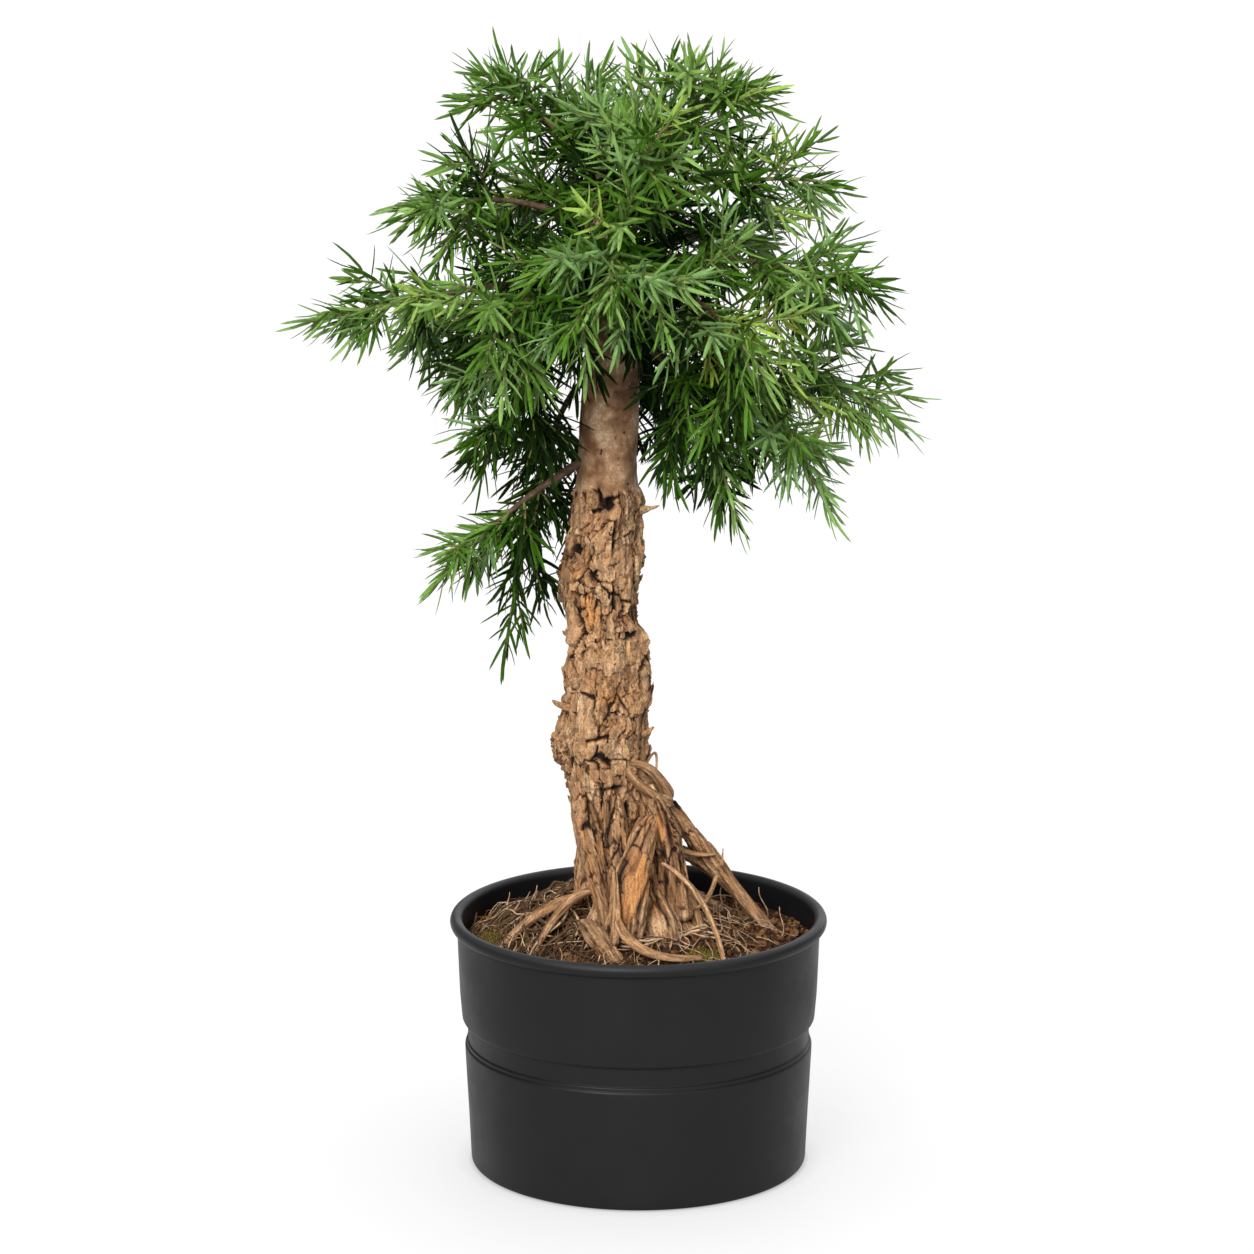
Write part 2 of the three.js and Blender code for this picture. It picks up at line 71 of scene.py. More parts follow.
class Board:
    def __init__(self, name):
        self.material = bpy.data.materials.new(name)
        self.material.use_nodes = True
        self.tree = self.material.node_tree
        self.shader = self.tree.nodes["Principled BSDF"]

    def node(self, kind, settings, values, output=0):
        made = self.tree.nodes.new(kind)
        for key, value in settings.items():
            if key == "stops":
                self.setStops(made.color_ramp, value)
            else:
                setattr(made, key, value)
        for key, value in values.items():
            self.feed(made.inputs[key], value)
        return Wire(self, made.outputs[output])

    def setStops(self, ramp, stops):
        while len(ramp.elements) < len(stops):
            ramp.elements.new(0.5)
        for element, (position, colour) in zip(ramp.elements, stops):
            element.position = position
            element.color = (*colour, 1)

    def feed(self, socket, value):
        if isinstance(value, Wire):
            self.tree.links.new(value.socket, socket)
        else:
            socket.default_value = value

    def place(self):
        return self.node("ShaderNodeTexCoord", {}, {}, "Object")

    def stretched(self, scale, place=None):
        return self.node("ShaderNodeMapping", {}, {"Vector": place or self.place(), "Scale": scale})

    def warped(self, place, size, amount):
        values = {"Vector": place, "Scale": 1 / (size * mm), "Detail": 3.0}
        drift = self.node("ShaderNodeTexNoise", {}, values, "Color")
        reach = (amount * mm,) * 3
        values = {0: drift, 1: reach, 2: place}
        return self.node("ShaderNodeVectorMath", {"operation": "MULTIPLY_ADD"}, values)

    def edges(self, place, size):
        values = {"Vector": place, "Scale": 1 / (size * mm)}
        return self.node("ShaderNodeTexVoronoi", {"feature": "DISTANCE_TO_EDGE"}, values)

    def attribute(self, name, output="Fac"):
        return self.node("ShaderNodeAttribute", {"attribute_name": name}, {}, output)

    def noise(self, place, size, detail):
        values = {"Vector": place, "Scale": 1 / (size * mm), "Detail": detail, "Roughness": 0.6}
        return self.node("ShaderNodeTexNoise", {}, values, "Fac")

    def ramp(self, value, stops):
        return self.node("ShaderNodeValToRGB", {"stops": stops}, {"Fac": value}, "Color")

    def spread(self, value, low, high, toLow=0.0, toHigh=1.0):
        values = {"Value": value, "From Min": low, "From Max": high, "To Min": toLow, "To Max": toHigh}
        return self.node("ShaderNodeMapRange", {}, values)

    def mix(self, share, first, second):
        first, second = (value if isinstance(value, Wire) else (*value, 1) for value in (first, second))
        return self.node("ShaderNodeMix", {"data_type": "RGBA"}, {0: share, 6: first, 7: second}, 2)

    # Coats of colour, each laid on the ones before it where its value goes from low to high.
    def coats(self, colour, rows):
        for value, low, high, toLow, toHigh, coat in rows:
            colour = self.mix(self.spread(value, low, high, toLow, toHigh), colour, coat)
        return colour

    def bump(self, height, depth, strength):
        values = {"Height": height, "Distance": depth * mm, "Strength": strength}
        return self.node("ShaderNodeBump", {}, values)

    def finish(self, colour, roughness, normal, specular):
        self.feed(self.shader.inputs["Base Color"], colour)
        self.feed(self.shader.inputs["Roughness"], roughness)
        self.shader.inputs["Specular IOR Level"].default_value = specular
        if normal:
            self.feed(self.shader.inputs["Normal"], normal)
        return self.material


def shaded(colour, share):
    return tuple(value * share for value in colour)


# Meshes
def deselectAll():
    bpy.ops.object.select_all(action="DESELECT")


def meshFromArrays(name, points, triangles, material, smooth=False):
    mesh = bpy.data.meshes.new(name)
    mesh.vertices.add(len(points))
    mesh.vertices.foreach_set("co", (np.asarray(points) * mm).astype(np.float32).ravel())
    mesh.loops.add(len(triangles) * 3)
    mesh.loops.foreach_set("vertex_index", np.asarray(triangles, dtype=np.int32).ravel())
    mesh.polygons.add(len(triangles))
    mesh.polygons.foreach_set("loop_start", np.arange(0, len(triangles) * 3, 3, dtype=np.int32))
    mesh.polygons.foreach_set("use_smooth", np.full(len(triangles), smooth))
    mesh.update(calc_edges=True)
    mesh.materials.append(material)
    piece = bpy.data.objects.new(name, mesh)
    bpy.context.collection.objects.link(piece)
    return piece


def addAttributes(piece, attributes):
    for name, values in attributes.items():
        values = np.asarray(values, dtype=np.float32)
        isVector = values.ndim == 2
        attribute = piece.data.attributes.new(name, "FLOAT_VECTOR" if isVector else "FLOAT", "POINT")
        attribute.data.foreach_set("vector" if isVector else "value", values.ravel())


def joinCopies(shaped, faces):
    offsets = np.arange(len(shaped))[:, None, None] * shaped.shape[1]
    return shaped.reshape(-1, 3), (np.array(faces)[None] + offsets).reshape(-1, 3)


def joinArrays(parts):
    offsets = np.cumsum([0] + [len(points) for points, _ in parts[:-1]])
    points = np.concatenate([points for points, _ in parts])
    triangles = np.concatenate([faces + offset for (_, faces), offset in zip(parts, offsets)])
    return points, triangles


# A plane grid is wrapped into a closed limb: shape(turn, share) places its vertices, where turn runs
# once round and share from the foot to the tip. The seam is sewn and both ends are filled.
def wrappedGrid(name, columns, rows, shape, material):
    deselectAll()
    bpy.ops.mesh.primitive_grid_add(x_subdivisions=columns, y_subdivisions=rows, size=1)
    piece = bpy.context.object
    piece.name = piece.data.name = name
    flat = np.empty(len(piece.data.vertices) * 3, dtype=np.float32)
    piece.data.vertices.foreach_get("co", flat)
    flat = flat.reshape(-1, 3).astype(float)
    turn = np.mod(np.round((flat[:, 0] + 0.5) * columns) / columns, 1)
    placed, attributes = shape(turn, flat[:, 1] + 0.5)
    piece.data.vertices.foreach_set("co", (placed * mm).astype(np.float32).ravel())
    addAttributes(piece, attributes)
    bpy.ops.object.mode_set(mode="EDIT")
    bpy.ops.mesh.select_all(action="SELECT")
    bpy.ops.mesh.remove_doubles(threshold=seamWidth)
    bpy.ops.mesh.fill_holes(sides=0)
    bpy.ops.mesh.normals_make_consistent(inside=False)
    bpy.ops.object.mode_set(mode="OBJECT")
    bpy.ops.object.shade_smooth_by_angle(angle=math.radians(limbSmoothing))
    piece.data.materials.append(material)
    return piece


def settle(piece, slot, *nodes):
    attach(piece, "root")
    if nodes:
        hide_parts(*nodes)


def settleTubes(name, parts, material, slot, *nodes):
    settle(meshFromArrays(name, *joinArrays(parts), material, True), slot, *nodes)


# Seeded noise on a grid of cells that closes round a limb
def hashOf(column, row, seed):
    mixed = (column.astype(np.int64) * 73856093) ^ (row.astype(np.int64) * 19349663) ^ (seed * 83492791)
    mixed = (mixed ^ (mixed >> 13)) & 0xFFFFFFFF
    mixed = (mixed * 1274126177) & 0xFFFFFFFF
    mixed = mixed ^ (mixed >> 16)
    return (mixed & 0xFFFFF) / 0xFFFFF


def softNoise(turn, height, columns, seed):
    across = turn * columns
    column, row = np.floor(across), np.floor(height)
    right, up = across - column, height - row
    right = right * right * (3 - 2 * right)
    up = up * up * (3 - 2 * up)

    def corner(dx, dy):
        return hashOf(np.mod(column + dx, columns), row + dy, seed)

    low = corner(0, 0) * (1 - right) + corner(1, 0) * right
    high = corner(0, 1) * (1 - right) + corner(1, 1) * right
    return (low * (1 - up) + high * up) * 2 - 1


# Layers of soft noise added to a start: each has its strength, its height and its columns round.
def noiseOn(start, turn, height, layers, seed):
    total = start
    for number, (strength, tall, columns) in enumerate(layers):
        total = total + strength * softNoise(turn, height / tall, columns, seed + number)
    return total


# Plates of bark: how far a point is from its plate's edge, the plate's own tone, and where it is on it.
def plateField(turn, height, columns, seed):
    across = turn * columns
    column, row = np.floor(across), np.floor(height)
    nearest = np.full(across.shape, 9.0)
    second = nearest.copy()
    tone = np.zeros(across.shape)
    aside = tone.copy()
    above = tone.copy()
    for dy in (-1, 0, 1):
        for dx in (-1, 0, 1):
            wrapped = np.mod(column + dx, columns)
            middleX = column + dx + 0.5 + 0.9 * (hashOf(wrapped, row + dy, seed) - 0.5)
            middleY = row + dy + 0.5 + 0.9 * (hashOf(wrapped, row + dy, seed + 1) - 0.5)
            away = np.hypot(across - middleX, height - middleY)
            closer = away < nearest
            second = np.where(closer, nearest, np.minimum(second, away))
            tone = np.where(closer, hashOf(wrapped, row + dy, seed + 2), tone)
            aside = np.where(closer, across - middleX, aside)
            above = np.where(closer, height - middleY, above)
            nearest = np.where(closer, away, nearest)
    return second - nearest, tone, aside, above


def levelWays(angle):
    return np.stack([np.cos(angle), np.sin(angle), np.zeros(len(angle))], 1)


def smoothStep(value, low, high):
    share = np.clip((value - low) / (high - low), 0, 1)
    return share * share * (3 - 2 * share)


# Growth: the trunk, the roots and the limbs of the CAD model, worked out by the same rule.
def seededDraw(seed):
    state = seed & 0xFFFFFFFF

    def draw():
        nonlocal state
        state = (state * 1664525 + 1013904223) & 0xFFFFFFFF
        return state / 4294967296

    return draw


trunk = {
    "heights": [129.3, 156, 190, 214, 234, 258, 300, 326, 366, 371, 375, 430, 480, 548],
    "middleX": [-8, -11, -15, -17, -19.5, -17.5, -18.4, -20.5, -16, -16.4, -17.4, -14.6, -13, -20],
    "middleY": [0, 0, -1, -1, 0, 1, 2, 1, 0, 0, 0, 0, 2, 4],
    "radii": [22, 20, 19.4, 22.8, 25.6, 24.2, 20.8, 21.8, 19.4, 18.6, 16, 15, 11.4, 4.4],
    "soilLevel": 129,
    "flareOut": 8,
    "flareHeight": 13,
}


def trunkAt(height):
    heights = trunk["heights"]
    return [np.interp(height, heights, trunk[key]) for key in ("middleX", "middleY", "radii")]


def trunkRadius(height, angle):
    radius = trunkAt(height)[2]
    age = np.clip((460 - height) / 100, 0.15, 1)
    lobes = 0.05 * np.sin(3 * angle + height / 19) + 0.035 * np.sin(5 * angle - height / 12)
    ribs = 1 + 0.5 * np.cos(4 * angle + 0.6)
    flare = trunk["flareOut"] * np.exp(-(height - trunk["soilLevel"]) / trunk["flareHeight"]) * ribs
    return radius * (1 + lobes * age) + flare


def unit(vector):
    return vector / np.linalg.norm(vector, axis=-1, keepdims=True)


# A way turned until it stands square to an axis.
def squaredTo(axis, way):
    return unit(way - axis * (way * axis).sum(-1, keepdims=True))


# The way that lies at an angle from a first way towards a second one.
def between(first, second, angle):
    return first * np.cos(angle)[..., None] + second * np.sin(angle)[..., None]


# A quadratic curve through space, with a frame carried along it.
class Curve:
    def __init__(self, start, middle, end):
        self.start, self.middle, self.end = (np.array(point, dtype=float) for point in (start, middle, end))

    def point(self, share):
        share = np.asarray(share, dtype=float)[..., None]
        first = self.start * (1 - share) ** 2
        return first + self.middle * 2 * share * (1 - share) + self.end * share**2

    def heading(self, share):
        slope = (self.middle - self.start) * (1 - share) + (self.end - self.middle) * share
        if np.linalg.norm(slope) < 1e-6:
            slope = self.end - self.start
        return unit(slope)

    def length(self, start=0.0):
        points = self.point(np.linspace(start, 1, 201))
        return np.linalg.norm(np.diff(points, axis=0), axis=1).sum()


# A frame is carried along points, turning no more than the way does.
def framesOf(points, alongs):
    reference = np.array([1.0, 0, 0]) if abs(alongs[0][2]) > 0.9 else np.array([0, 0, 1.0])
    sides = [unit(np.cross(alongs[0], reference))]
    for along in alongs[1:]:
        sides.append(squaredTo(along, sides[-1]))
    sides = np.array(sides)
    return {"points": points, "alongs": alongs, "sides": sides, "lifts": np.cross(sides, alongs)}


def framesAlong(curve, start, end, steps):
    shares = np.linspace(start, end, steps + 1)
    return framesOf(curve.point(shares), np.array([curve.heading(share) for share in shares]))


def framesOfPoints(points):
    return framesOf(points, unit(np.gradient(points, axis=0) + 1e-9))


# A round limb as arrays: rings of corners, with a point at each end.
footPoint = 0.4  # how far it stands out, as a share of the limb's radius there
tipPoint = 1.2


def tube(frames, radii, sides):
    points = frames["points"]
    steps = len(points) - 1
    angles = np.arange(sides) * fullTurn / sides
    outward = between(frames["sides"][:, None], frames["lifts"][:, None], angles[None])
    rings = points[:, None] + outward * np.asarray(radii)[:, None, None]
    foot = points[0] - frames["alongs"][0] * radii[0] * footPoint
    tip = points[-1] + frames["alongs"][-1] * radii[-1] * tipPoint
    corners = np.concatenate([rings.reshape(-1, 3), [foot, tip]])
    ring = np.arange(sides)
    following = (ring + 1) % sides
    faces = []
    for step in range(steps):
        low, high = step * sides, (step + 1) * sides
        faces.append(np.stack([low + ring, high + ring, high + following], 1))
        faces.append(np.stack([low + ring, high + following, low + following], 1))
    last = steps * sides
    faces.append(np.stack([ring, following, np.full(sides, last + sides)], 1))
    faces.append(np.stack([last + following, last + ring, np.full(sides, last + sides + 1)], 1))
    return corners, np.concatenate(faces)


print("stage: helpers ready")


# Pot: rings are extruded up the outside, over the rolled rim and down the inside.
pot = {
    "sides": 192,
    "outside": [  # radius, height and how round the corner is
        (86, 0, 0), (91, 0, 2.8), (92.2, 26, 0), (94.05, 62, 0), (94.15, 66.2, 0.9), (93.3, 66.9, 0.25),
        (93.3, 68.7, 0.7), (92.5, 69.1, 0.3), (92.8, 79.7, 0.4), (95.5, 80.5, 1.5), (96.7, 94.5, 0),
        (97.2, 106, 0), (98.1, 131, 0.3),
    ],
    "inside": [(95, 131), (93.4, 84), (90.2, 79), (89.6, 66), (88.6, 8), (86, 3.5)],
    "rimRadius": 98.45,
    "rimHeight": 134.6,
    "rimHalfWidth": 3.4,
    "rimHalfHeight": 3.6,
    "rimArc": (-62, 180),
    "rimSteps": 20,
    "cornerSteps": 5,
    "smoothing": 30,
    "colour": (0.0052, 0.0052, 0.0056),
    "wornColour": (0.013, 0.013, 0.014),
    # painted highlight: the crest of the rolled rim is coloured lighter, where lamps would glint on it
    "crestHighlightColour": (0.026, 0.027, 0.03),
    "crestHighlightFrom": 0.8,  # where the painted highlight on the rim's crest begins, above the middle of the rim
    "crestHighlightTo": 3.2,
    "grainSize": 0.5,
    "cloudSize": 28,
    "scuffSize": 14,
    "roughness": 0.46,
    "sheen": 0.2,
}


def roundedProfile(corners):
    rings = []
    for i, (radius, height, roundness) in enumerate(corners):
        here = np.array([radius, height])
        if roundness == 0 or i in (0, len(corners) - 1):
            rings.append(here)
            continue
        back = unit(np.array(corners[i - 1][:2]) - here) * roundness
        ahead = unit(np.array(corners[i + 1][:2]) - here) * roundness
        for share in np.linspace(0, 1, pot["cornerSteps"] + 1):
            rings.append(here + back * (1 - share) ** 2 + ahead * share**2)
    return [tuple(ring) for ring in rings]


def potMaterial():
    board = Board("satinBlackPlastic")
    grain = board.noise(board.place(), pot["grainSize"], 3)
    cloud = board.noise(board.place(), pot["cloudSize"], 3)
    scuff = board.noise(board.stretched((1, 1, 9)), pot["scuffSize"], 6)
    worn = board.spread(scuff, 0.6, 0.78, 0, 0.3) + board.spread(cloud, 0.35, 0.75, 0, 0.18)
    colour = board.mix(worn, pot["colour"], pot["wornColour"])
    # painted highlight along the rim's crest
    colour = board.mix(board.attribute("crest"), colour, pot["crestHighlightColour"])
    roughness = board.spread(cloud, 0.3, 0.7, pot["roughness"] - 0.04, pot["roughness"] + 0.08)
    return board.finish(colour, roughness, board.bump(grain, 0.06, 0.5), pot["sheen"])


def makePot():
    arc = np.radians(np.linspace(*pot["rimArc"], pot["rimSteps"] + 1))
    rimAcross = pot["rimRadius"] + pot["rimHalfWidth"] * np.cos(arc)
    rimUp = pot["rimHeight"] + pot["rimHalfHeight"] * np.sin(arc)
    rings = roundedProfile(pot["outside"]) + list(zip(rimAcross, rimUp)) + pot["inside"]
    deselectAll()
    radius, height = rings[0]
    place = (0, 0, height * mm)
    bpy.ops.mesh.primitive_circle_add(
        vertices=pot["sides"], radius=radius * mm, fill_type="NOTHING", location=place)
    piece = bpy.context.object
    piece.name = piece.data.name = "nursery_pot"
    bpy.ops.object.mode_set(mode="EDIT")
    bpy.ops.mesh.select_all(action="SELECT")
    for ring, following in zip(rings, rings[1:]):
        rise = (0, 0, (following[1] - ring[1]) * mm)
        grow = following[0] / ring[0]
        bpy.ops.mesh.extrude_edges_move(TRANSFORM_OT_translate={"value": rise})
        bpy.ops.transform.resize(value=(grow, grow, 1), center_override=(0, 0, 0))
    bpy.ops.mesh.edge_face_add()
    bpy.ops.mesh.select_all(action="DESELECT")
    bpy.ops.mesh.select_non_manifold()
    bpy.ops.mesh.edge_face_add()
    bpy.ops.mesh.select_all(action="SELECT")
    bpy.ops.mesh.normals_make_consistent(inside=False)
    bpy.ops.object.mode_set(mode="OBJECT")
    bpy.ops.object.transform_apply(location=True, rotation=True, scale=True)
    bpy.ops.object.shade_smooth_by_angle(angle=math.radians(pot["smoothing"]))
    rise = np.array([vertex.co.z for vertex in piece.data.vertices]) / mm - pot["rimHeight"]
    # how far up the rim's crest each point is, for its painted highlight
    addAttributes(piece, {"crest": smoothStep(rise, pot["crestHighlightFrom"], pot["crestHighlightTo"])})
    piece.data.materials.append(potMaterial())
    settle(piece, "pot", "pot")


makePot()
print("stage: pot made")


# Soil: a lumpy bed with crumbs and chips of bark strewn on it.
soil = {
    "level": 129,
    "shoulder": 126.8,
    "edge": 124,
    "seatRadius": 46,
    "shoulderRadius": 72,
    "edgeRadius": 94.4,
    "innerRadius": 0.4,
    "heapMiddle": -14,
    "heapHeight": 31,
    "heapRadius": 42,
    "heapShares": (0.35, 0.42, 0.2),  # everywhere, more at both sides, and less at the right
    "lumps": [(1.3, 9, 40), (0.6, 4, 90)],  # height, length and how many round
    "sunk": 1,
    "columns": 260,
    "rows": 70,
    "seed": 11,
    "dark": (0.018, 0.008, 0.003),
    "brown": (0.075, 0.032, 0.013),
    "rust": (0.27, 0.115, 0.038),
    # light and dark colour, and how many
    "crumbs": {"soil_crumbs_brown": ("brown", "dark", 3120), "soil_crumbs_rust": ("rust", "brown", 2080)},
    "crumbSize": (0.45, 1.95),
    "chips": {"bark_chips_dark": ((0.075, 0.037, 0.02), 252), "bark_chips_tan": ((0.24, 0.125, 0.06), 168)},
    "chipLength": (1.6, 4.4),
    "chipBreadth": (0.4, 0.8),
    "chipThickness": (0.5, 1.1),
    "chipTilt": 0.35,
    # how far crumbs and chips keep from the edge, and how ragged they are
    "crumbMargin": 1.5,
    "crumbRagged": 0.28,
    "chipMargin": 5,
    "chipRagged": 0.22,
}


# Roots and soil are heaped round the trunk's foot, most at its left.
def heapAt(x, y):
    aside = x - soil["heapMiddle"]
    away = np.hypot(aside, y) + 0.1
    around, sideways, rightward = soil["heapShares"]
    share = around + sideways * np.abs(aside) / away - rightward * aside / away
    return soil["heapHeight"] * share * np.exp(-((away / soil["heapRadius"]) ** 2))


def soilHeight(x, y):
    away = np.hypot(x, y)
    radii = [0, soil["seatRadius"], soil["shoulderRadius"], soil["edgeRadius"] + 1]
    bed = np.interp(away, radii, [soil["level"], soil["level"], soil["shoulder"], soil["edge"]])
    turn = np.mod(np.arctan2(y, x) / fullTurn, 1)
    return bed + heapAt(x, y) + noiseOn(0, turn, away, soil["lumps"], 3) - soil["sunk"]


def groundAt(x, y):
    return float(soilHeight(np.array([x]), np.array([y]))[0])


def onSoil(away, angle):
    x, y = away * np.cos(angle), away * np.sin(angle)
    return np.stack([x, y, soilHeight(x, y)], 1)


def soilMaterial(name, light, dark):
    board = Board(name)
    lumps = board.noise(board.place(), 5, 6)
    grains = board.noise(board.place(), 0.9, 4)
    shade = board.spread(lumps * 0.6 + grains * 0.4, 0.36, 0.64)
    return board.finish(board.mix(shade, dark, light), 0.95, board.bump(grains, 0.5, 0.8), 0.2)


def bedShape(turn, share):
    away = soil["edgeRadius"] * (1 - share) + soil["innerRadius"] * share
    return onSoil(away, turn * fullTurn), {}


def randomTurns(random, count):
    spin = unit(random.normal(size=(count, 4)))
    w, x, y, z = spin.T
    rows = [
        [1 - 2 * (y * y + z * z), 2 * (x * y - z * w), 2 * (x * z + y * w)],
        [2 * (x * y + z * w), 1 - 2 * (x * x + z * z), 2 * (y * z - x * w)],
        [2 * (x * z - y * w), 2 * (y * z + x * w), 1 - 2 * (x * x + y * y)],
    ]
    return np.array(rows).transpose(2, 0, 1)


# A primitive is read as arrays to be strewn, and removed.
def templateOf(addPrimitive, **settings):
    deselectAll()
    addPrimitive(**settings)
    model = bpy.context.object
    points = np.array([vertex.co[:] for vertex in model.data.vertices])
    model.data.calc_loop_triangles()
    faces = np.array([triangle.vertices[:] for triangle in model.data.loop_triangles])
    bpy.data.objects.remove(model, do_unlink=True)
    return points, faces


def strewn(random, template, places, turns, sizes, roughness):
    points, faces = template
    shaped = points[None] * (1 + roughness * random.uniform(-1, 1, (len(places), len(points), 1)))
    shaped = np.einsum("nij,nkj->nki", turns, shaped * sizes[:, None]) + places[:, None]
    return joinCopies(shaped, faces)


def soilPlaces(random, count, margin):
    away = (soil["edgeRadius"] - margin) * np.sqrt(random.uniform(0.02, 1, count))
    return onSoil(away, random.uniform(0, fullTurn, count))


def makeCrumbs(random):
    crumb = templateOf(bpy.ops.mesh.primitive_ico_sphere_add, subdivisions=1, radius=1)
    low, high = soil["crumbSize"]
    for name, (light, dark, count) in soil["crumbs"].items():
        places = soilPlaces(random, count, soil["crumbMargin"])
        size = low + (high - low) * random.uniform(0, 1, count) ** 2.4
        places[:, 2] += size * 0.35
        sizes = size[:, None] * random.uniform(0.65, 1.25, (count, 3))
        arrays = strewn(random, crumb, places, randomTurns(random, count), sizes, soil["crumbRagged"])
        material = soilMaterial(name + "Finish", soil[light], soil[dark])
        settle(meshFromArrays(name, *arrays, material), "soil", "soil")


# Chips lie flat on the bed, each tilted a little.
def makeChips(random):
    chip = templateOf(bpy.ops.mesh.primitive_cylinder_add, vertices=7, radius=1, depth=1)
    for name, (colour, count) in soil["chips"].items():
        places = soilPlaces(random, count, soil["chipMargin"]) + [0, 0, 0.9]
        length = random.uniform(*soil["chipLength"], count)
        broad = length * random.uniform(*soil["chipBreadth"], count)
        sizes = np.stack([length, broad, random.uniform(*soil["chipThickness"], count)], 1)
        tilt = random.normal(0, soil["chipTilt"], (count, 2))
        up = unit(np.stack([tilt[:, 0], tilt[:, 1], np.ones(count)], 1))
        forward = squaredTo(up, levelWays(random.uniform(0, fullTurn, count)))
        turns = np.stack([forward, np.cross(up, forward), up], 2)
        arrays = strewn(random, chip, places, turns, sizes, soil["chipRagged"])
        material = soilMaterial(name + "Finish", colour, shaded(colour, 0.4))
        settle(meshFromArrays(name, *arrays, material), "soil", "soil")


def makeSoil():
    material = soilMaterial("darkSoil", soil["brown"], soil["dark"])
    settle(wrappedGrid("soil_bed", soil["columns"], soil["rows"], bedShape, material), "soil", "soil")
    random = np.random.default_rng(soil["seed"])
    makeCrumbs(random)
    makeChips(random)


makeSoil()
print("stage: soil made")


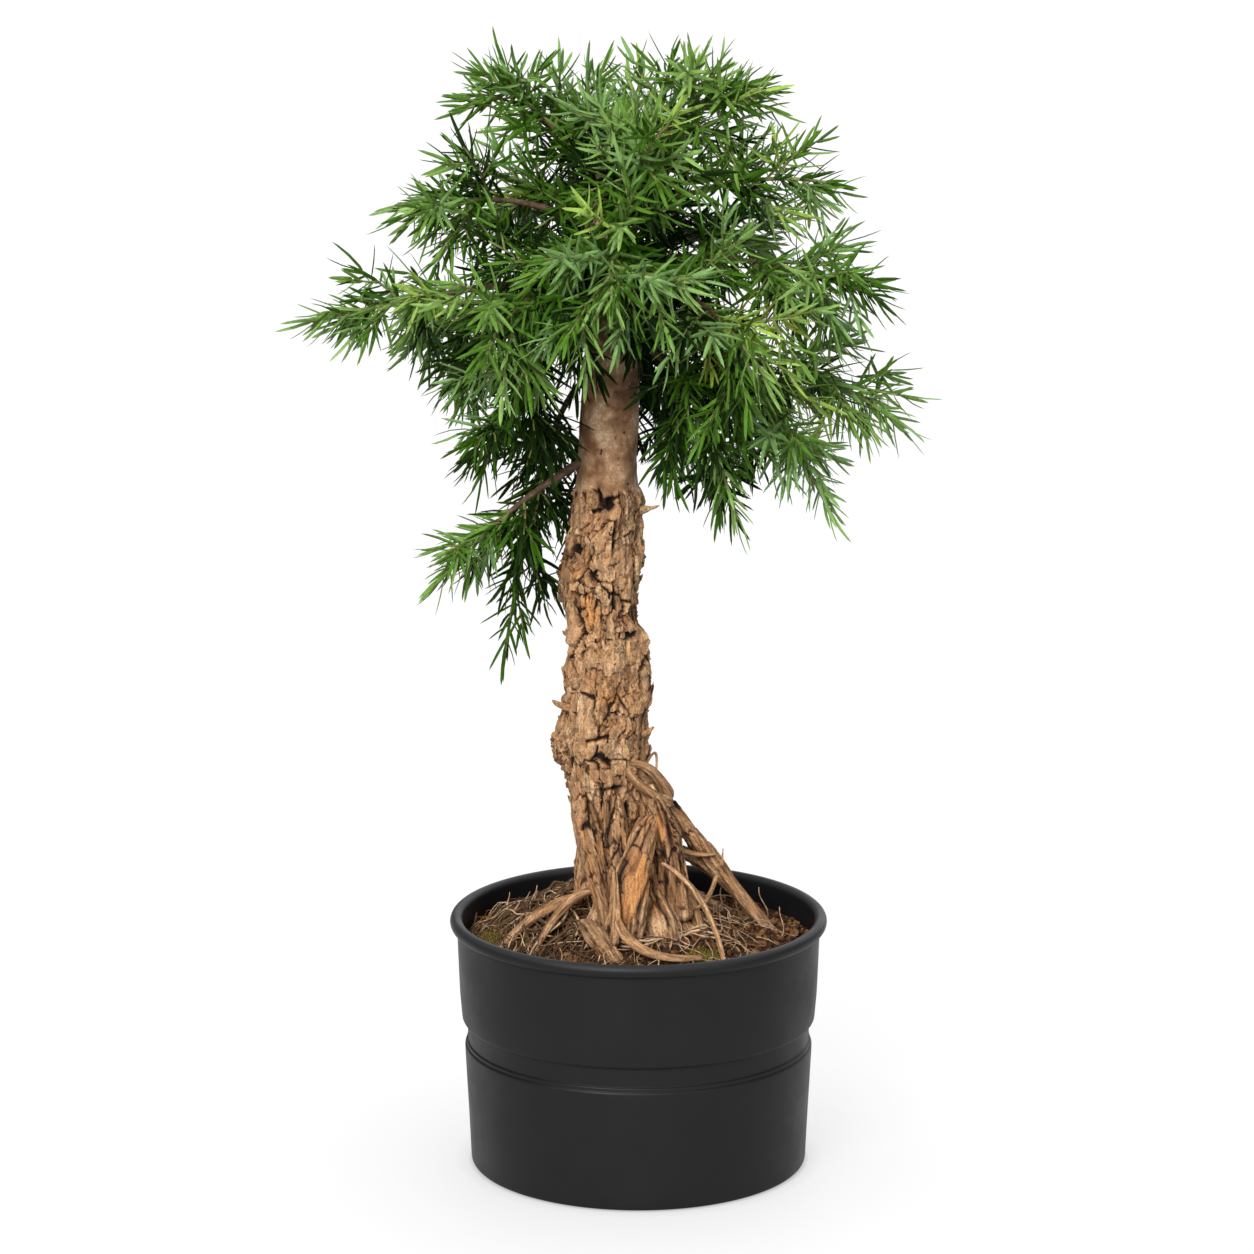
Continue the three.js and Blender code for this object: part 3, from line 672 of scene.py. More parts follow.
# Bark: flaky plates and cracks low on the trunk, smooth thin bark above the collar.
bark = {
    "columns": 176,
    "rows": 500,
    "foot": 126.5,
    "tip": 548,
    "collar": 372.5,
    # columns round the trunk, height, step, lean, lift of the lower edge, depth and width of the crack
    "layers": [
        (11, 32, 1.7, 1.0, 0.8, 1.7, 0.09), (26, 14, 1.3, 0.8, 0.55, 1.0, 0.11),
        (54, 7, 0.8, 0.3, 0.2, 0.5, 0.16),
    ],
    "settled": 1.4,
    "footFade": (180, 222),
    "ribSink": (2.2, 165, 215),  # how far the foot goes in between its ribs, up to which heights
    "ribFade": 45,
    # soft noise: strength, height and columns round
    "drift": [(0.024, 15, 9), (0.011, 5, 24), (0.004, 2, 60)],
    "wander": [(4.5, 15, 8), (1.8, 5, 26), (0.6, 2, 64)],
    "ragged": [(3.4, 1, 9), (2, 1, 26)],
    "fibre": [(0.6, 12, 100), (0.4, 5, 150)],
    "lumps": [(1.3, 22, 6), (0.8, 8, 17)],
    "thin": [(0.25, 4, 40), (0.3, 11, 9)],
    "crackShare": (1, 0.7, 0.4),
    "toneShare": (0.4, 0.35, 0.25),
    # crack colours thin crack lines and is also painted shade deep in cracks and holes; shade colours dark
    # streaks and specks and is also painted shade in hollows
    "crack": (0.010, 0.005, 0.003),
    "shade": (0.115, 0.050, 0.020),
    "dun": (0.30, 0.175, 0.092),
    "tan": (0.53, 0.27, 0.112),
    "pale": (0.76, 0.50, 0.28),
    "orange": (0.66, 0.30, 0.10),
    "smoothDark": (0.21, 0.097, 0.044),
    "smoothTan": (0.602, 0.353, 0.181),
    "smoothPale": (0.765, 0.621, 0.477),
    # kind, angle round the trunk, height, width, length and how far it stands out or goes in
    "marks": [
        ("hole", -95, 419, 1.6, 1.3, -2), ("knot", -63, 431, 4, 3, 1.6),
        ("hole", -47, 440, 2.6, 3.8, -3.4), ("ledge", -104, 396, 6, 5, 0.8),
        ("knot", -120, 407, 4, 6, 1.1), ("hole", -73, 402, 1, 1.1, -1.6),
        ("crack", -84, 411, 5, 0.8, -1), ("hole", -112, 386, 1.2, 1, -1.4), ("knot", -70, 388, 5, 4, 1),
        ("knot", 40, 410, 5, 4, 1.4), ("hole", 120, 398, 1.6, 1.4, -2), ("crack", 160, 420, 6, 0.8, -1),
        ("hole", -88, 366.5, 2.6, 3, -5.5), ("knot", -70, 366, 6, 7, 1.6),
        ("hole", -104, 371, 1.1, 5, -3.4), ("crack", -78, 370, 6, 1.2, -3),
        ("crack", -112, 363, 5, 1.1, -2.6),
        ("hole", -144, 339.5, 3.4, 4.2, -5), ("lump", -128, 329, 9, 10, 3.6),
        ("hole", -103, 328.5, 2.6, 4.6, -4.4), ("ledge", -122, 319.5, 10, 7, 2.8),
        ("hole", -50, 295.5, 6, 2.4, -4.8), ("ledge", -54, 297, 9, 6, 2.4),
        ("knot", -6, 292, 6, 5, 2.8), ("knot", -90, 279, 5, 7, 1.6), ("ledge", -143, 290, 6, 8, 2.2),
        ("knot", 182, 257, 4, 4, 3), ("crack", -102, 240.5, 13, 1.1, -3),
        ("lump", -176, 231, 5, 5, 2.6), ("lump", 176, 222, 5, 5, 2.4), ("lump", -172, 212, 4, 4, 2),
        ("hole", -84, 228, 1.8, 1.8, -2), ("knot", -1, 238.5, 4, 4, 2.4),
        ("hole", -150, 226, 3, 5, -2.6), ("crack", -84, 213, 9, 0.9, -2), ("lump", -38, 202, 8, 6, 2.2),
        ("hole", -78, 186, 2.4, 22, -7), ("hole", -60, 200, 2, 6, -3.4), ("hole", -30, 214, 2.4, 5, -3),
        ("hole", -100, 205, 1.4, 12, -3), ("hole", -70, 308, 1.2, 18, -3),
        ("hole", -76, 350, 1.2, 12, -2.6), ("ledge", 20, 330, 9, 9, 2.6), ("knot", 75, 300, 8, 10, 3),
        ("ledge", 120, 345, 10, 8, 2.6), ("hole", 60, 262, 4, 3, -4), ("knot", 140, 275, 8, 9, 2.8),
        ("crack", 90, 246, 16, 1.1, -2.4),
    ],
    # angle at the foot, turn in degrees for each mm up, width, how far it stands out, and its top
    "ribs": [
        (-6, -0.1, 6, 3, 205), (40, 0.15, 7, 3.2, 210), (82, -0.1, 7, 3, 200), (122, 0.12, 7, 3.2, 210),
        (164, 0.05, 6, 3, 200),
    ],
    # bare orange wood seen from the front: x, height, half width, half height
    "raw": [
        (-26, 309, 5, 10), (-27, 316, 4, 5), (-1, 170, 7, 14), (-6, 154, 5, 9), (12, 193, 3.5, 9),
        (-14, 262, 6, 4),
    ],
    "rawFrom": -9,
}


def arcTo(angle, middle, radius):
    return ((angle - np.radians(middle) + math.pi) % fullTurn - math.pi) * radius


def markRelief(angle, height, radius, rubble):
    relief = np.zeros(angle.shape)
    for kind, at, level, width, length, out in bark["marks"]:
        aside = arcTo(angle, at, radius)
        above = height - level
        if kind == "ledge":
            rise = smoothStep(above, -0.6, 0.6) * np.exp(-np.clip(above, 0, None) / length)
            relief += out * rise * np.exp(-((aside / width) ** 4))
        elif kind == "crack":
            wave = above - 1.2 * np.sin(aside / 5)
            relief += out * np.exp(-((wave / length) ** 2)) * np.exp(-((aside / width) ** 4))
        else:
            spot = np.exp(-(((aside / width) ** 2 + (above / length) ** 2) ** 1.5))
            relief += out * spot * (1 + 0.55 * rubble * (kind == "lump"))
    return relief


def ribRelief(angle, height, radius):
    relief = np.zeros(angle.shape)
    for foot, twist, width, out, top in bark["ribs"]:
        aside = arcTo(angle, foot + twist * (height - trunk["soilLevel"]), radius)
        fade = 1 - smoothStep(height, top - bark["ribFade"], top)
        relief = np.maximum(relief, out * fade * np.sqrt(np.clip(1 - (aside / width) ** 2, 0, 1)))
    sunk, low, high = bark["ribSink"]
    return relief - sunk * (1 - smoothStep(height, low, high))


# Plates of a few sizes, each leaning its own way, with cracks that come and go between them.
def plateRelief(turn, height, layers, seed):
    across = np.mod(noiseOn(turn, turn, height, bark["drift"], seed), 1)
    upward = noiseOn(height, turn, height, bark["wander"], seed + 3)
    relief = np.zeros(turn.shape)
    cracks = relief.copy()
    tones = relief.copy()
    for number, (columns, tall, step, lean, lift, depth, width) in enumerate(layers):
        own = seed + 10 * number
        edge, tone, aside, above = plateField(across, upward / tall, columns, own + 7)
        present = smoothStep(softNoise(turn, height / tall, columns, own + 8), -0.55, 0.35)
        crack = (1 - smoothStep(edge, 0, width)) * (0.25 + 0.75 * present)
        relief += step * (tone - 0.5) + lean * aside * np.sign(tone - 0.5) - lift * above - depth * crack
        cracks = np.maximum(cracks, crack * bark["crackShare"][number])
        tones += tone * bark["toneShare"][number]
    return relief, cracks, tones


def rawWood(x, y, z):
    share = np.zeros(x.shape)
    for middle, level, width, length in bark["raw"]:
        away = np.hypot((x - middle) / width, (z - level) / length)
        share = np.maximum(share, 1 - smoothStep(away, 0.75, 1.1))
    return share * (y < bark["rawFrom"])


def trunkSurface(turn, height):
    angle = turn * fullTurn
    ragged = noiseOn(0, turn, np.full(turn.shape, 0.5), bark["ragged"], 21)
    level = height + ragged * np.exp(-(((height - bark["collar"]) / 9) ** 2))
    radius = trunkRadius(np.clip(level, trunk["soilLevel"] + 0.3, None), angle)
    rough = 1 - smoothStep(level, bark["collar"] - 1.5, bark["collar"] + 1.5)
    plates, cracks, tones = plateRelief(turn, height, bark["layers"], 41)
    footShare = 1 - smoothStep(height, *bark["footFade"])
    fibre = noiseOn(0, turn, height, bark["fibre"], 61)
    rubble = softNoise(turn, height / 2.6, 46, 63)
    lumps = noiseOn(0, turn, height, bark["lumps"], 71)
    relief = plates * (1 - 0.5 * footShare) + lumps + 0.3 * rubble + (0.35 + 0.5 * footShare) * fibre
    relief -= bark["settled"]
    marks = markRelief(angle, height, radius, rubble)
    thin = noiseOn(0, turn, height, bark["thin"], 81)
    pits = smoothStep(softNoise(turn, height / 2.2, 60, 83), 0.72, 0.95)
    out = rough * relief + (1 - rough) * (thin - 0.5 * pits) + marks + ribRelief(angle, height, radius)
    # the relief attribute holds painted shade: it drops in cracks, on sunken plates, in pits and in holes,
    # and the bark is darkened there
    sunk = 0.75 * cracks * (1 - 0.2 * footShare)
    depth = rough * np.clip(0.82 - sunk + 0.13 * (relief + bark["settled"]), 0, 1)
    depth += (1 - rough) * (0.92 + 0.3 * thin - 0.75 * pits)
    depth = np.clip(depth + np.where(marks < 0, marks * 0.24, 0), 0, 1)
    shade = np.clip(tones + 0.12 * fibre + 0.05 * lumps, 0, 1)
    return radius + out, {"relief": depth, "tone": shade, "rough": rough}


def trunkShape(turn, share):
    height = bark["foot"] + (bark["tip"] - bark["foot"]) * share
    radius, attributes = trunkSurface(turn, height)
    middleX, middleY, _ = trunkAt(height)
    closing = np.sqrt(np.clip((bark["tip"] + 1 - height) / 5, 0, 1))
    angle = turn * fullTurn
    x = middleX + radius * closing * np.cos(angle)
    y = middleY + radius * closing * np.sin(angle)
    attributes["raw"] = rawWood(x, y, height) * attributes["rough"]
    attributes["grain"] = np.stack([x, y, height], 1) * mm
    return np.stack([x, y, height], 1), attributes


def barkMaterial(name, fibrous):
    board = Board(name)
    relief, tone, rough, raw = (board.attribute(key) for key in ("relief", "tone", "rough", "raw"))
    place = board.attribute("grain", "Vector")
    blotch = board.noise(place, 14, 5)
    streak = board.noise(board.stretched((1, 1, 0.14), place), 1.0, 6)
    speckle = board.noise(place, 1.1, 6)
    smear = board.noise(board.stretched((1, 1, 0.2), place), 3.2, 5)
    lines = board.edges(board.stretched((1, 1, 0.34), board.warped(board.warped(place, 9, 9), 2.5, 2)), 5)
    lines = lines + board.spread(blotch * 0.5 + speckle * 0.5, 0.4, 0.56, 0, 0.12)
    low = 0.47 - 0.04 * fibrous
    plate = board.coats(bark["tan"], [
        (tone, 0.25, 0.75, 0, 1, bark["pale"]),
        (blotch, 0.42, 0.62, 0, 0.75, bark["tan"]),
        (smear, 0.44, 0.62, 0, 0.85, bark["dun"]),
        (raw, 0, 1, 0, 1, bark["orange"]),
        (smear, 0.38, 0.6, 0, 0.5 * fibrous, bark["dun"]),
        (streak, low, low + 0.18, 0, 0.45 + 0.45 * fibrous, bark["shade"]),
        (speckle, 0.52, 0.68, 0, 0.8, bark["shade"]),
        (lines, 0, 0.07, 0.8 * (1 - fibrous), 0, bark["crack"]),
        # painted shade: dark, then near black, where the relief attribute is low in cracks, hollows, pits
        # and holes
        (relief, 0.35, 0.75, 1, 0, bark["shade"]),
        (relief, 0.1, 0.45, 1, 0, bark["crack"]),
    ])
    thin = board.coats(bark["smoothDark"], [
        (blotch, 0.38, 0.62, 0, 1, bark["smoothTan"]),
        (speckle * 0.4 + blotch * 0.6, 0.53, 0.62, 0, 0.8, bark["smoothPale"]),
        # painted shade in the pits and cracks of the thin bark
        (relief, 0.3, 0.7, 1, 0, bark["crack"]),
    ])
    colour = board.mix(rough, thin, plate)
    height = streak * 0.6 + speckle * 0.5 + smear * 0.5
    height = height + board.spread(lines, 0, 0.1, 0, 0.5 * (1 - fibrous)) * rough
    roughness = board.spread(relief, 0, 1, 0.95, 0.8)
    return board.finish(colour, roughness, board.bump(height, 0.9, 1.0), 0.25)


def makeTrunk(material):
    piece = wrappedGrid("trunk_bark", bark["columns"], bark["rows"], trunkShape, material)
    settle(piece, "bark", "trunk")


# Loose flakes stand off the trunk's rough part, each a thin chip with one edge lifted.
flakes = {
    "seed": 23,
    "count": 460,
    "low": 185,
    "high": 369,
    "thickness": 0.45,
    "swing": 0.5,
    "lifted": (0.1, 0.55),
    "ragged": 0.42,
    # a broken stub: its foot, its tip and its two radii
    "stubs": [
        ((1, -2, 361), (11, -3, 363.5), 2.6, 0.3), ((-36, -8, 254), (-45.5, -9, 258), 2.6, 0.9),
        ((2, -6, 239), (8, -7, 243), 2.2, 0.6), ((-2, -5, 291), (2.6, -6, 291.2), 3.4, 2.2),
        ((45, 0, 165), (45.6, -0.5, 174), 1, 0.2),
    ],
    # dark crumbs: how many, from and to which angle and height
    "crumbs": [(90, 166, 206, 209, 237), (30, 172, 200, 326, 372), (26, -12, 14, 326, 345)],
    "crumbSize": (0.6, 1.9),
    "crumbRagged": 0.3,
    "crumbSeed": 29,
}


# Points on the trunk's bark, and the ways that lead straight out of it there.
def onBark(turn, height, above):
    radius, _ = trunkSurface(turn, height)
    middleX, middleY, _ = trunkAt(height)
    outward = levelWays(turn * fullTurn)
    return np.stack([middleX, middleY, height], 1) + outward * (radius + above)[:, None], outward


def barkBits(name, parts, material, each, reliefs, tones):
    points, faces = joinArrays(parts)
    piece = meshFromArrays(name, points, faces, material)
    addAttributes(piece, {
        "relief": np.repeat(reliefs, each),
        "tone": np.repeat(tones, each),
        "rough": np.ones(len(points)),
        "raw": np.zeros(len(points)),
        "grain": points * mm,
    })
    settle(piece, "bark", "trunk")


def makeBarkCrumbs(material):
    random = np.random.default_rng(flakes["crumbSeed"])
    crumb = templateOf(bpy.ops.mesh.primitive_ico_sphere_add, subdivisions=1, radius=1)
    parts = []
    for count, start, end, low, high in flakes["crumbs"]:
        turn = np.mod(np.radians(random.uniform(start, end, count)) / fullTurn, 1)
        places, _ = onBark(turn, random.uniform(low, high, count), 0)
        sizes = random.uniform(*flakes["crumbSize"], (count, 1)) * random.uniform(0.7, 1.3, (count, 3))
        turns = randomTurns(random, count)
        parts.append(strewn(random, crumb, places, turns, sizes, flakes["crumbRagged"]))
    total = sum(row[0] for row in flakes["crumbs"])
    reliefs = random.uniform(0.3, 0.75, total)
    tones = random.uniform(0, 0.6, total)
    barkBits("bark_crumbs", parts, material, len(crumb[0]), reliefs, tones)


def makeFlakes(material):
    random = np.random.default_rng(flakes["seed"])
    count = flakes["count"]
    template = templateOf(bpy.ops.mesh.primitive_cylinder_add, vertices=6, radius=1, depth=1)
    height = random.uniform(flakes["low"], flakes["high"], count)
    turn = random.uniform(0, 1, count)
    places, outward = onBark(turn, height, 0.1)
    around = outward[:, [1, 0, 2]] * [-1, 1, 0]
    upright = between(np.array([0, 0, 1.0]), around, random.normal(0, flakes["swing"], count))
    lifted = random.uniform(*flakes["lifted"], count) * np.sign(random.uniform(-0.5, 1, count))
    normal = unit(between(outward, -upright, lifted))
    upright = squaredTo(normal, upright)
    turns = np.stack([np.cross(upright, normal), upright, normal], 2)
    long = 1.2 + 3.2 * random.uniform(0, 1, count) ** 1.6
    sizes = np.stack([long * random.uniform(0.35, 0.8, count), long, np.full(count, flakes["thickness"])], 1)
    parts = [strewn(random, template, places, turns, sizes, flakes["ragged"])]
    each = [len(template[0])] * count
    for foot, tip, thick, thin in flakes["stubs"]:
        frames = framesAlong(Curve(foot, (np.array(foot) + tip) / 2 + [0, 0, -0.8], tip), 0, 1, 6)
        corners, faces = tube(frames, np.linspace(thick, thin, 7), 9)
        parts.append((corners + random.normal(0, 0.16, corners.shape), faces))
        each.append(len(corners))
    reliefs = random.uniform(0.62, 1, len(each))
    tones = random.uniform(0, 0.9, len(each))
    barkBits("bark_flakes", parts, material, each, reliefs, tones)


# The bark of roots and strands, as on the trunk but smaller, with fibres along it
rootBark = {
    "layers": [(5, 24, 1.2, 0.7, 0.5, 1.1, 0.12), (10, 12, 0.7, 0.4, 0.4, 0.6, 0.17)],
    "fibre": [(0.6, 22, 22), (0.4, 9, 44)],
    "columnWidth": 0.7,
    "rowHeight": 0.8,
    "twist": 0.0035,
    "smooth": (138, 166),  # plates fade out below, from the second height down to the first
    "fibrous": 0.4,
}

# Surface roots: the CAD model's ten, each with fibres and knots along it.
roots = {
    # side and height where it leaves the trunk, where it enters the soil, its bow and its two radii
    "root_prop_right": (-22, 223, 77, 15, 1, 8, 2.8),
    "root_knuckle_front": (-58, 192, -13, -38, 15, 5.5, 10),
    "root_bulb_front": (-46, 168, 16, -36, 7, 5.5, 11),
    "root_knob_front": (-118, 152, -29, -43, 5, 5.5, 7),
    "root_left_front": (196, 154, -77, 0, 4, 5.2, 2.4), "root_left": (160, 150, -72, 34, 4, 5, 2.4),
    "root_right_front": (-16, 152, 49, -36, 4, 4.6, 2.2), "root_right": (34, 160, 58, 48, 3, 6, 3),
    "root_back": (74, 152, 16, 62, 4, 5.6, 2.6), "root_back_left": (116, 150, -36, 60, 4, 5.4, 2.6),
}

# Strands that lie over the trunk's foot: the three points of each one's curve, and its radii at its
# start, middle and end
strands = {
    "strand_left": ((-33, -10, 216), (-30, -27, 199), (-13, -33, 138), (3.6, 7.2, 6)),
    "strand_outer": ((-27, -4, 206), (-28.5, -8, 172), (-32, -14, 130), (4, 5.2, 5)),
    "strand_inner": ((1, -5, 214), (13, -12, 184), (20, -16, 122), (6, 9, 9)),
    "strand_inner_low": ((-4, -14, 186), (6, -20, 160), (12, -18, 122), (6, 8, 8)),
    "strand_lobe": ((-15, -15, 212), (-12, -31, 189), (-10, -29, 164), (4, 7.2, 5.8)),
    "strand_raw": ((8, -14, 196), (-9, -44, 172), (-4, -43, 124), (6, 9.6, 6.4)),
    "strand_right": ((4, -12, 212), (16, -21, 196), (25, -24, 140), (3.4, 6.4, 4.4)),
    "strand_right_fork": ((18, -20, 176), (25, -14, 158), (37, -20, 122), (3.6, 3.8, 2.4)),
    "strand_crossing": ((-12, -50, 150), (-4, -74, 131), (34, -64, 132), (2.6, 2.9, 1.5)),
    "strand_upright": ((-13, -38, 172), (-11, -50, 158), (-13, -56, 136), (1.3, 2.2, 2.8)),
    "strand_knob": ((-30, -32, 140), (-28, -60, 152), (-6, -54, 116), (2.4, 6, 5)),
    "strand_eye_low": ((-7, -20, 224), (1, -25, 212), (17, -7, 201), (2, 2.6, 3.6)),
    "strand_eye_high": ((-6, -18, 226), (8, -20, 228), (17, -5, 203), (1.4, 2.8, 3.6)),
    "strand_far_right": ((20, 6, 172), (46, 14, 160), (66, 20, 124), (3.6, 3.2, 2.2)),
    "rootlet_right": ((12, -28, 174), (38, -34, 162), (46, -66, 126), (1, 1.7, 1.3)),
    "rootlet_middle": ((42, -2, 160), (36, -16, 138), (20, -32, 152), (1.2, 1.4, 1)),
    "rootlet_side": ((16, -4, 178), (28, -4, 170), (42, 0, 171), (2, 1.6, 0.8)),
    "rootlet_loop": ((3, -15, 223), (12, -14, 242), (9, -13, 216), (0.6, 0.7, 0.6)),
    "rootlet_left": ((-24, -26, 158), (-42, -34, 158), (-58, -44, 124), (2.4, 2.4, 1.4)),
    "rootlet_low_left": ((-30, -20, 152), (-52, -22, 152), (-80, -30, 120), (3, 3, 1.6)),
}


def rootCurve(side, height, x, y, bow):
    angle = math.radians(side)
    middleX, middleY, radius = trunkAt(height)
    inside = radius * 0.55
    start = np.array([middleX + inside * math.cos(angle), middleY + inside * math.sin(angle), height])
    end = np.array([x, y, soil["level"] - 12])
    middle = (start + end) / 2 + np.array([math.cos(angle), math.sin(angle), 0.6]) * bow
    return Curve(start, middle, end)


def rootPiece(name, curve, sizeAt, seed, material):
    length = curve.length()
    size = sizeAt(np.linspace(0, 1, 50)).max()
    columns = max(26, round(fullTurn * size / rootBark["columnWidth"]))
    rows = round(length / rootBark["rowHeight"])
    frames = framesAlong(curve, 0, 1, rows)

    def shape(turn, share):
        index = np.round(share * rows).astype(int)
        angle = turn * fullTurn
        along = share * length
        size = sizeAt(share)
        middle = frames["points"][index]
        twist = np.mod(turn + rootBark["twist"] * along + 0.03 * softNoise(turn, along / 18, 5, seed), 1)
        ridges = 1 - 2 * np.abs(softNoise(twist, along / 34, 9, seed + 1))
        fibre = noiseOn(0, twist, along, rootBark["fibre"], seed + 2)
        lumps = softNoise(twist, along / 13, 4, seed + 4)
        swell = 0.13 * lumps + 0.06 * (ridges - 0.3) + 0.06 * fibre
        across = between(frames["sides"][index], frames["lifts"][index], angle)
        raw = rawWood(*(middle + across * size[:, None]).T)
        plates, cracks, tones = plateRelief(twist, along + 9 * seed, rootBark["layers"], seed + 5)
        low = 1 - smoothStep(middle[:, 2], *rootBark["smooth"])
        barky = np.clip((size - 2.5) / 3, 0, 1) * (1 - 0.85 * raw) * (1 - 0.65 * low)
        closing = np.sqrt(np.clip(np.minimum(along, length - along) / (size * 0.6) + 0.02, 0, 1))
        out = ((size * (1 + swell) + barky * plates) * closing)[:, None]
        # painted shade: relief is lower where the fibres and ridges sink and in cracks, and the root bark is
        # darkened there
        relief = 0.66 + 0.45 * fibre + 0.2 * np.clip(ridges, -0.7, 0.4) - 0.75 * barky * cracks
        tone = np.clip(0.5 + 0.25 * lumps + 0.25 * fibre + 0.9 * barky * (tones - 0.5), 0, 1)
        grain = np.stack([size * np.cos(angle), size * np.sin(angle), along + seed * 40], 1) * mm
        looks = {"relief": np.clip(relief, 0, 1), "tone": tone, "rough": np.ones(len(turn))}
        return middle + across * out, {**looks, "raw": raw, "grain": grain}

    return wrappedGrid(name, columns, rows, shape, material)


def makeRoots(material):
    for number, (name, row) in enumerate(roots.items()):
        thick, thin = row[5:]

        def sizeAt(share, thick=thick, thin=thin):
            return thick + (thin - thick) * share**0.6

        bare = name.replace("root_", "bare_root_")
        piece = rootPiece(bare, rootCurve(*row[:5]), sizeAt, number * 7 + 101, material)
        settle(piece, "root_wood", name)
    for number, (name, (*points, radii)) in enumerate(strands.items()):

        def radiusAt(share, radii=radii):
            return np.interp(share, [0, 0.5, 1], radii)

        piece = rootPiece(name, Curve(*points), radiusAt, number * 7 + 201, material)
        settle(piece, "root_wood", "trunk")


trunkMaterial = barkMaterial("flakyBark", 0.0)
makeTrunk(trunkMaterial)
makeFlakes(trunkMaterial)
makeBarkCrumbs(trunkMaterial)
print("stage: trunk made")
makeRoots(barkMaterial("rootBark", rootBark["fibrous"]))
print("stage: roots made")


# Fine roots: a tangle over the soil, with a few curls that stand up out of it.
tangle = {
    "seed": 37,
    # how many, how far out they start, how far they stray from straight outwards, and their lengths
    "runs": (260, 46, 0.5, (26, 62)),
    "threads": (520, 86, 1.6, (10, 30)),
    "leftward": (0.5, 195, 45),  # how many leave at the left, and the middle and spread of their angles
    "runRadius": (0.4, 1.15),  # the least, and what the thickest have more
    "threadRadius": (0.22, 0.5),
    "curls": 34,
    "curlReach": (45, 84),
    "curlHeight": (8, 19),
    "curlLean": (-4, 4),
    "curlRadii": (0.5, 0.25),
    "colours": {"fine_roots_tan": (0.66, 0.44, 0.26), "fine_roots_brown": (0.15, 0.078, 0.036)},
    "brownShare": (0.85, 0.3),  # at the trunk's left, and elsewhere
    "leftOf": -18,
    "middle": -8,
    "innerRadius": 20,
    "outerRadius": 90,
    "lift": (0, 7.5),
    "bend": 0.33,
}


def wanderingRoot(random, start, heading, length, radius, lift):
    steps = max(5, int(length / 4))
    stride = length / steps
    points = []
    x, y = start
    bend = random.normal(0, 0.1)
    for step in range(steps + 1):
        arch = lift * math.sin(math.pi * min(1, step / steps * 1.05)) + 0.4
        points.append((x, y, groundAt(x, y) + radius + arch))
        bend = bend * 0.7 + random.normal(0, tangle["bend"])
        heading += bend
        x += stride * math.cos(heading)
        y += stride * math.sin(heading)
        away = math.hypot(x, y)
        if away > tangle["outerRadius"]:
            x *= tangle["outerRadius"] / away
            y *= tangle["outerRadius"] / away
            heading += 0.6
    return np.array(points)


def woodMaterial(name, light, dark, size=3.0):
    board = Board(name)
    patches = board.noise(board.place(), size, 5)
    grain = board.noise(board.place(), size / 5, 4)
    colour = board.mix(board.spread(patches, 0.36, 0.66), dark, light)
    roughness = board.spread(grain, 0.3, 0.7, 0.75, 0.92)
    return board.finish(colour, roughness, board.bump(grain, 0.25, 0.7), 0.3)


def makeRuns(random, kind, parts, tan, brown):
    count, reach, stray, lengths = tangle[kind]
    leftShare, side, spread = tangle["leftward"]
    least, more = tangle["runRadius"]
    for _ in range(count):
        angle = random.uniform(0, fullTurn)
        if random.uniform() < leftShare:
            angle = math.radians(random.normal(side, spread))
        away = random.uniform(tangle["innerRadius"], reach)
        start = (tangle["middle"] + away * math.cos(angle), away * math.sin(angle))
        heading = angle + random.normal(0, stray)
        length = random.uniform(*lengths)
        if kind == "runs":
            radius = least + more * random.uniform() ** 3
        else:
            radius = random.uniform(*tangle["threadRadius"])
        points = wanderingRoot(random, start, heading, length, radius, random.uniform(*tangle["lift"]))
        radii = radius * np.linspace(1, 0.35, len(points))
        share = tangle["brownShare"][0 if start[0] < tangle["leftOf"] else 1]
        colour = brown if random.uniform() < share else tan
        parts[colour].append(tube(framesOfPoints(points), radii, 5 if kind == "runs" else 4))


def makeCurl(random):
    angle = random.uniform(0, fullTurn)
    away = random.uniform(*tangle["curlReach"])
    x, y = away * math.cos(angle), away * math.sin(angle)
    rise = random.uniform(*tangle["curlHeight"])
    lean = random.uniform(*tangle["curlLean"], 2)
    shares = np.linspace(0, 1, 8)
    points = np.stack([
        x + lean[0] * shares + 1.5 * np.sin(shares * 5 + angle),
        y + lean[1] * shares + 1.5 * np.cos(shares * 4 + angle),
        groundAt(x, y) - 1 + (rise + 1) * shares,
    ], 1)
    return tube(framesOfPoints(points), np.linspace(*tangle["curlRadii"], 8), 4)


def makeTangle():
    random = np.random.default_rng(tangle["seed"])
    tan, brown = tangle["colours"]
    parts = {tan: [], brown: []}
    for kind in ("runs", "threads"):
        makeRuns(random, kind, parts, tan, brown)
    parts[tan] += [makeCurl(random) for _ in range(tangle["curls"])]
    for name, colour in tangle["colours"].items():
        material = woodMaterial(name + "Finish", colour, shaded(colour, 0.35))
        settleTubes(name, parts[name], material, "root_wood")


# Moss: tufts of short strands, at places with their x, y and spread
moss = {
    "seed": 41,
    "places": [(-78, -16, 10), (35, -52, 9), (-66, 20, 7)],
    "strands": 320,
    "radii": [0.3, 0.3, 0.22, 0.08],
    "length": (2, 4.5),
    "lean": 1.6,
    "colour": (0.24, 0.19, 0.02),
}


def makeMoss():
    random = np.random.default_rng(moss["seed"])
    parts = []
    shares = np.linspace(0, 1, len(moss["radii"]))[:, None]
    for *middle, spread in moss["places"]:
        for _ in range(moss["strands"]):
            x, y = np.array(middle) + random.normal(0, spread / 2, 2)
            lean = random.normal(0, moss["lean"], 2)
            points = np.array([x, y, groundAt(x, y)])
            points = points + shares * np.array([*lean, random.uniform(*moss["length"])])
            parts.append(tube(framesOfPoints(points), moss["radii"], 3))
    material = woodMaterial("mossFinish", moss["colour"], shaded(moss["colour"], 0.3))
    settleTubes("moss_tufts", parts, material, "soil")


makeTangle()
makeMoss()
print("stage: fine roots and moss made")


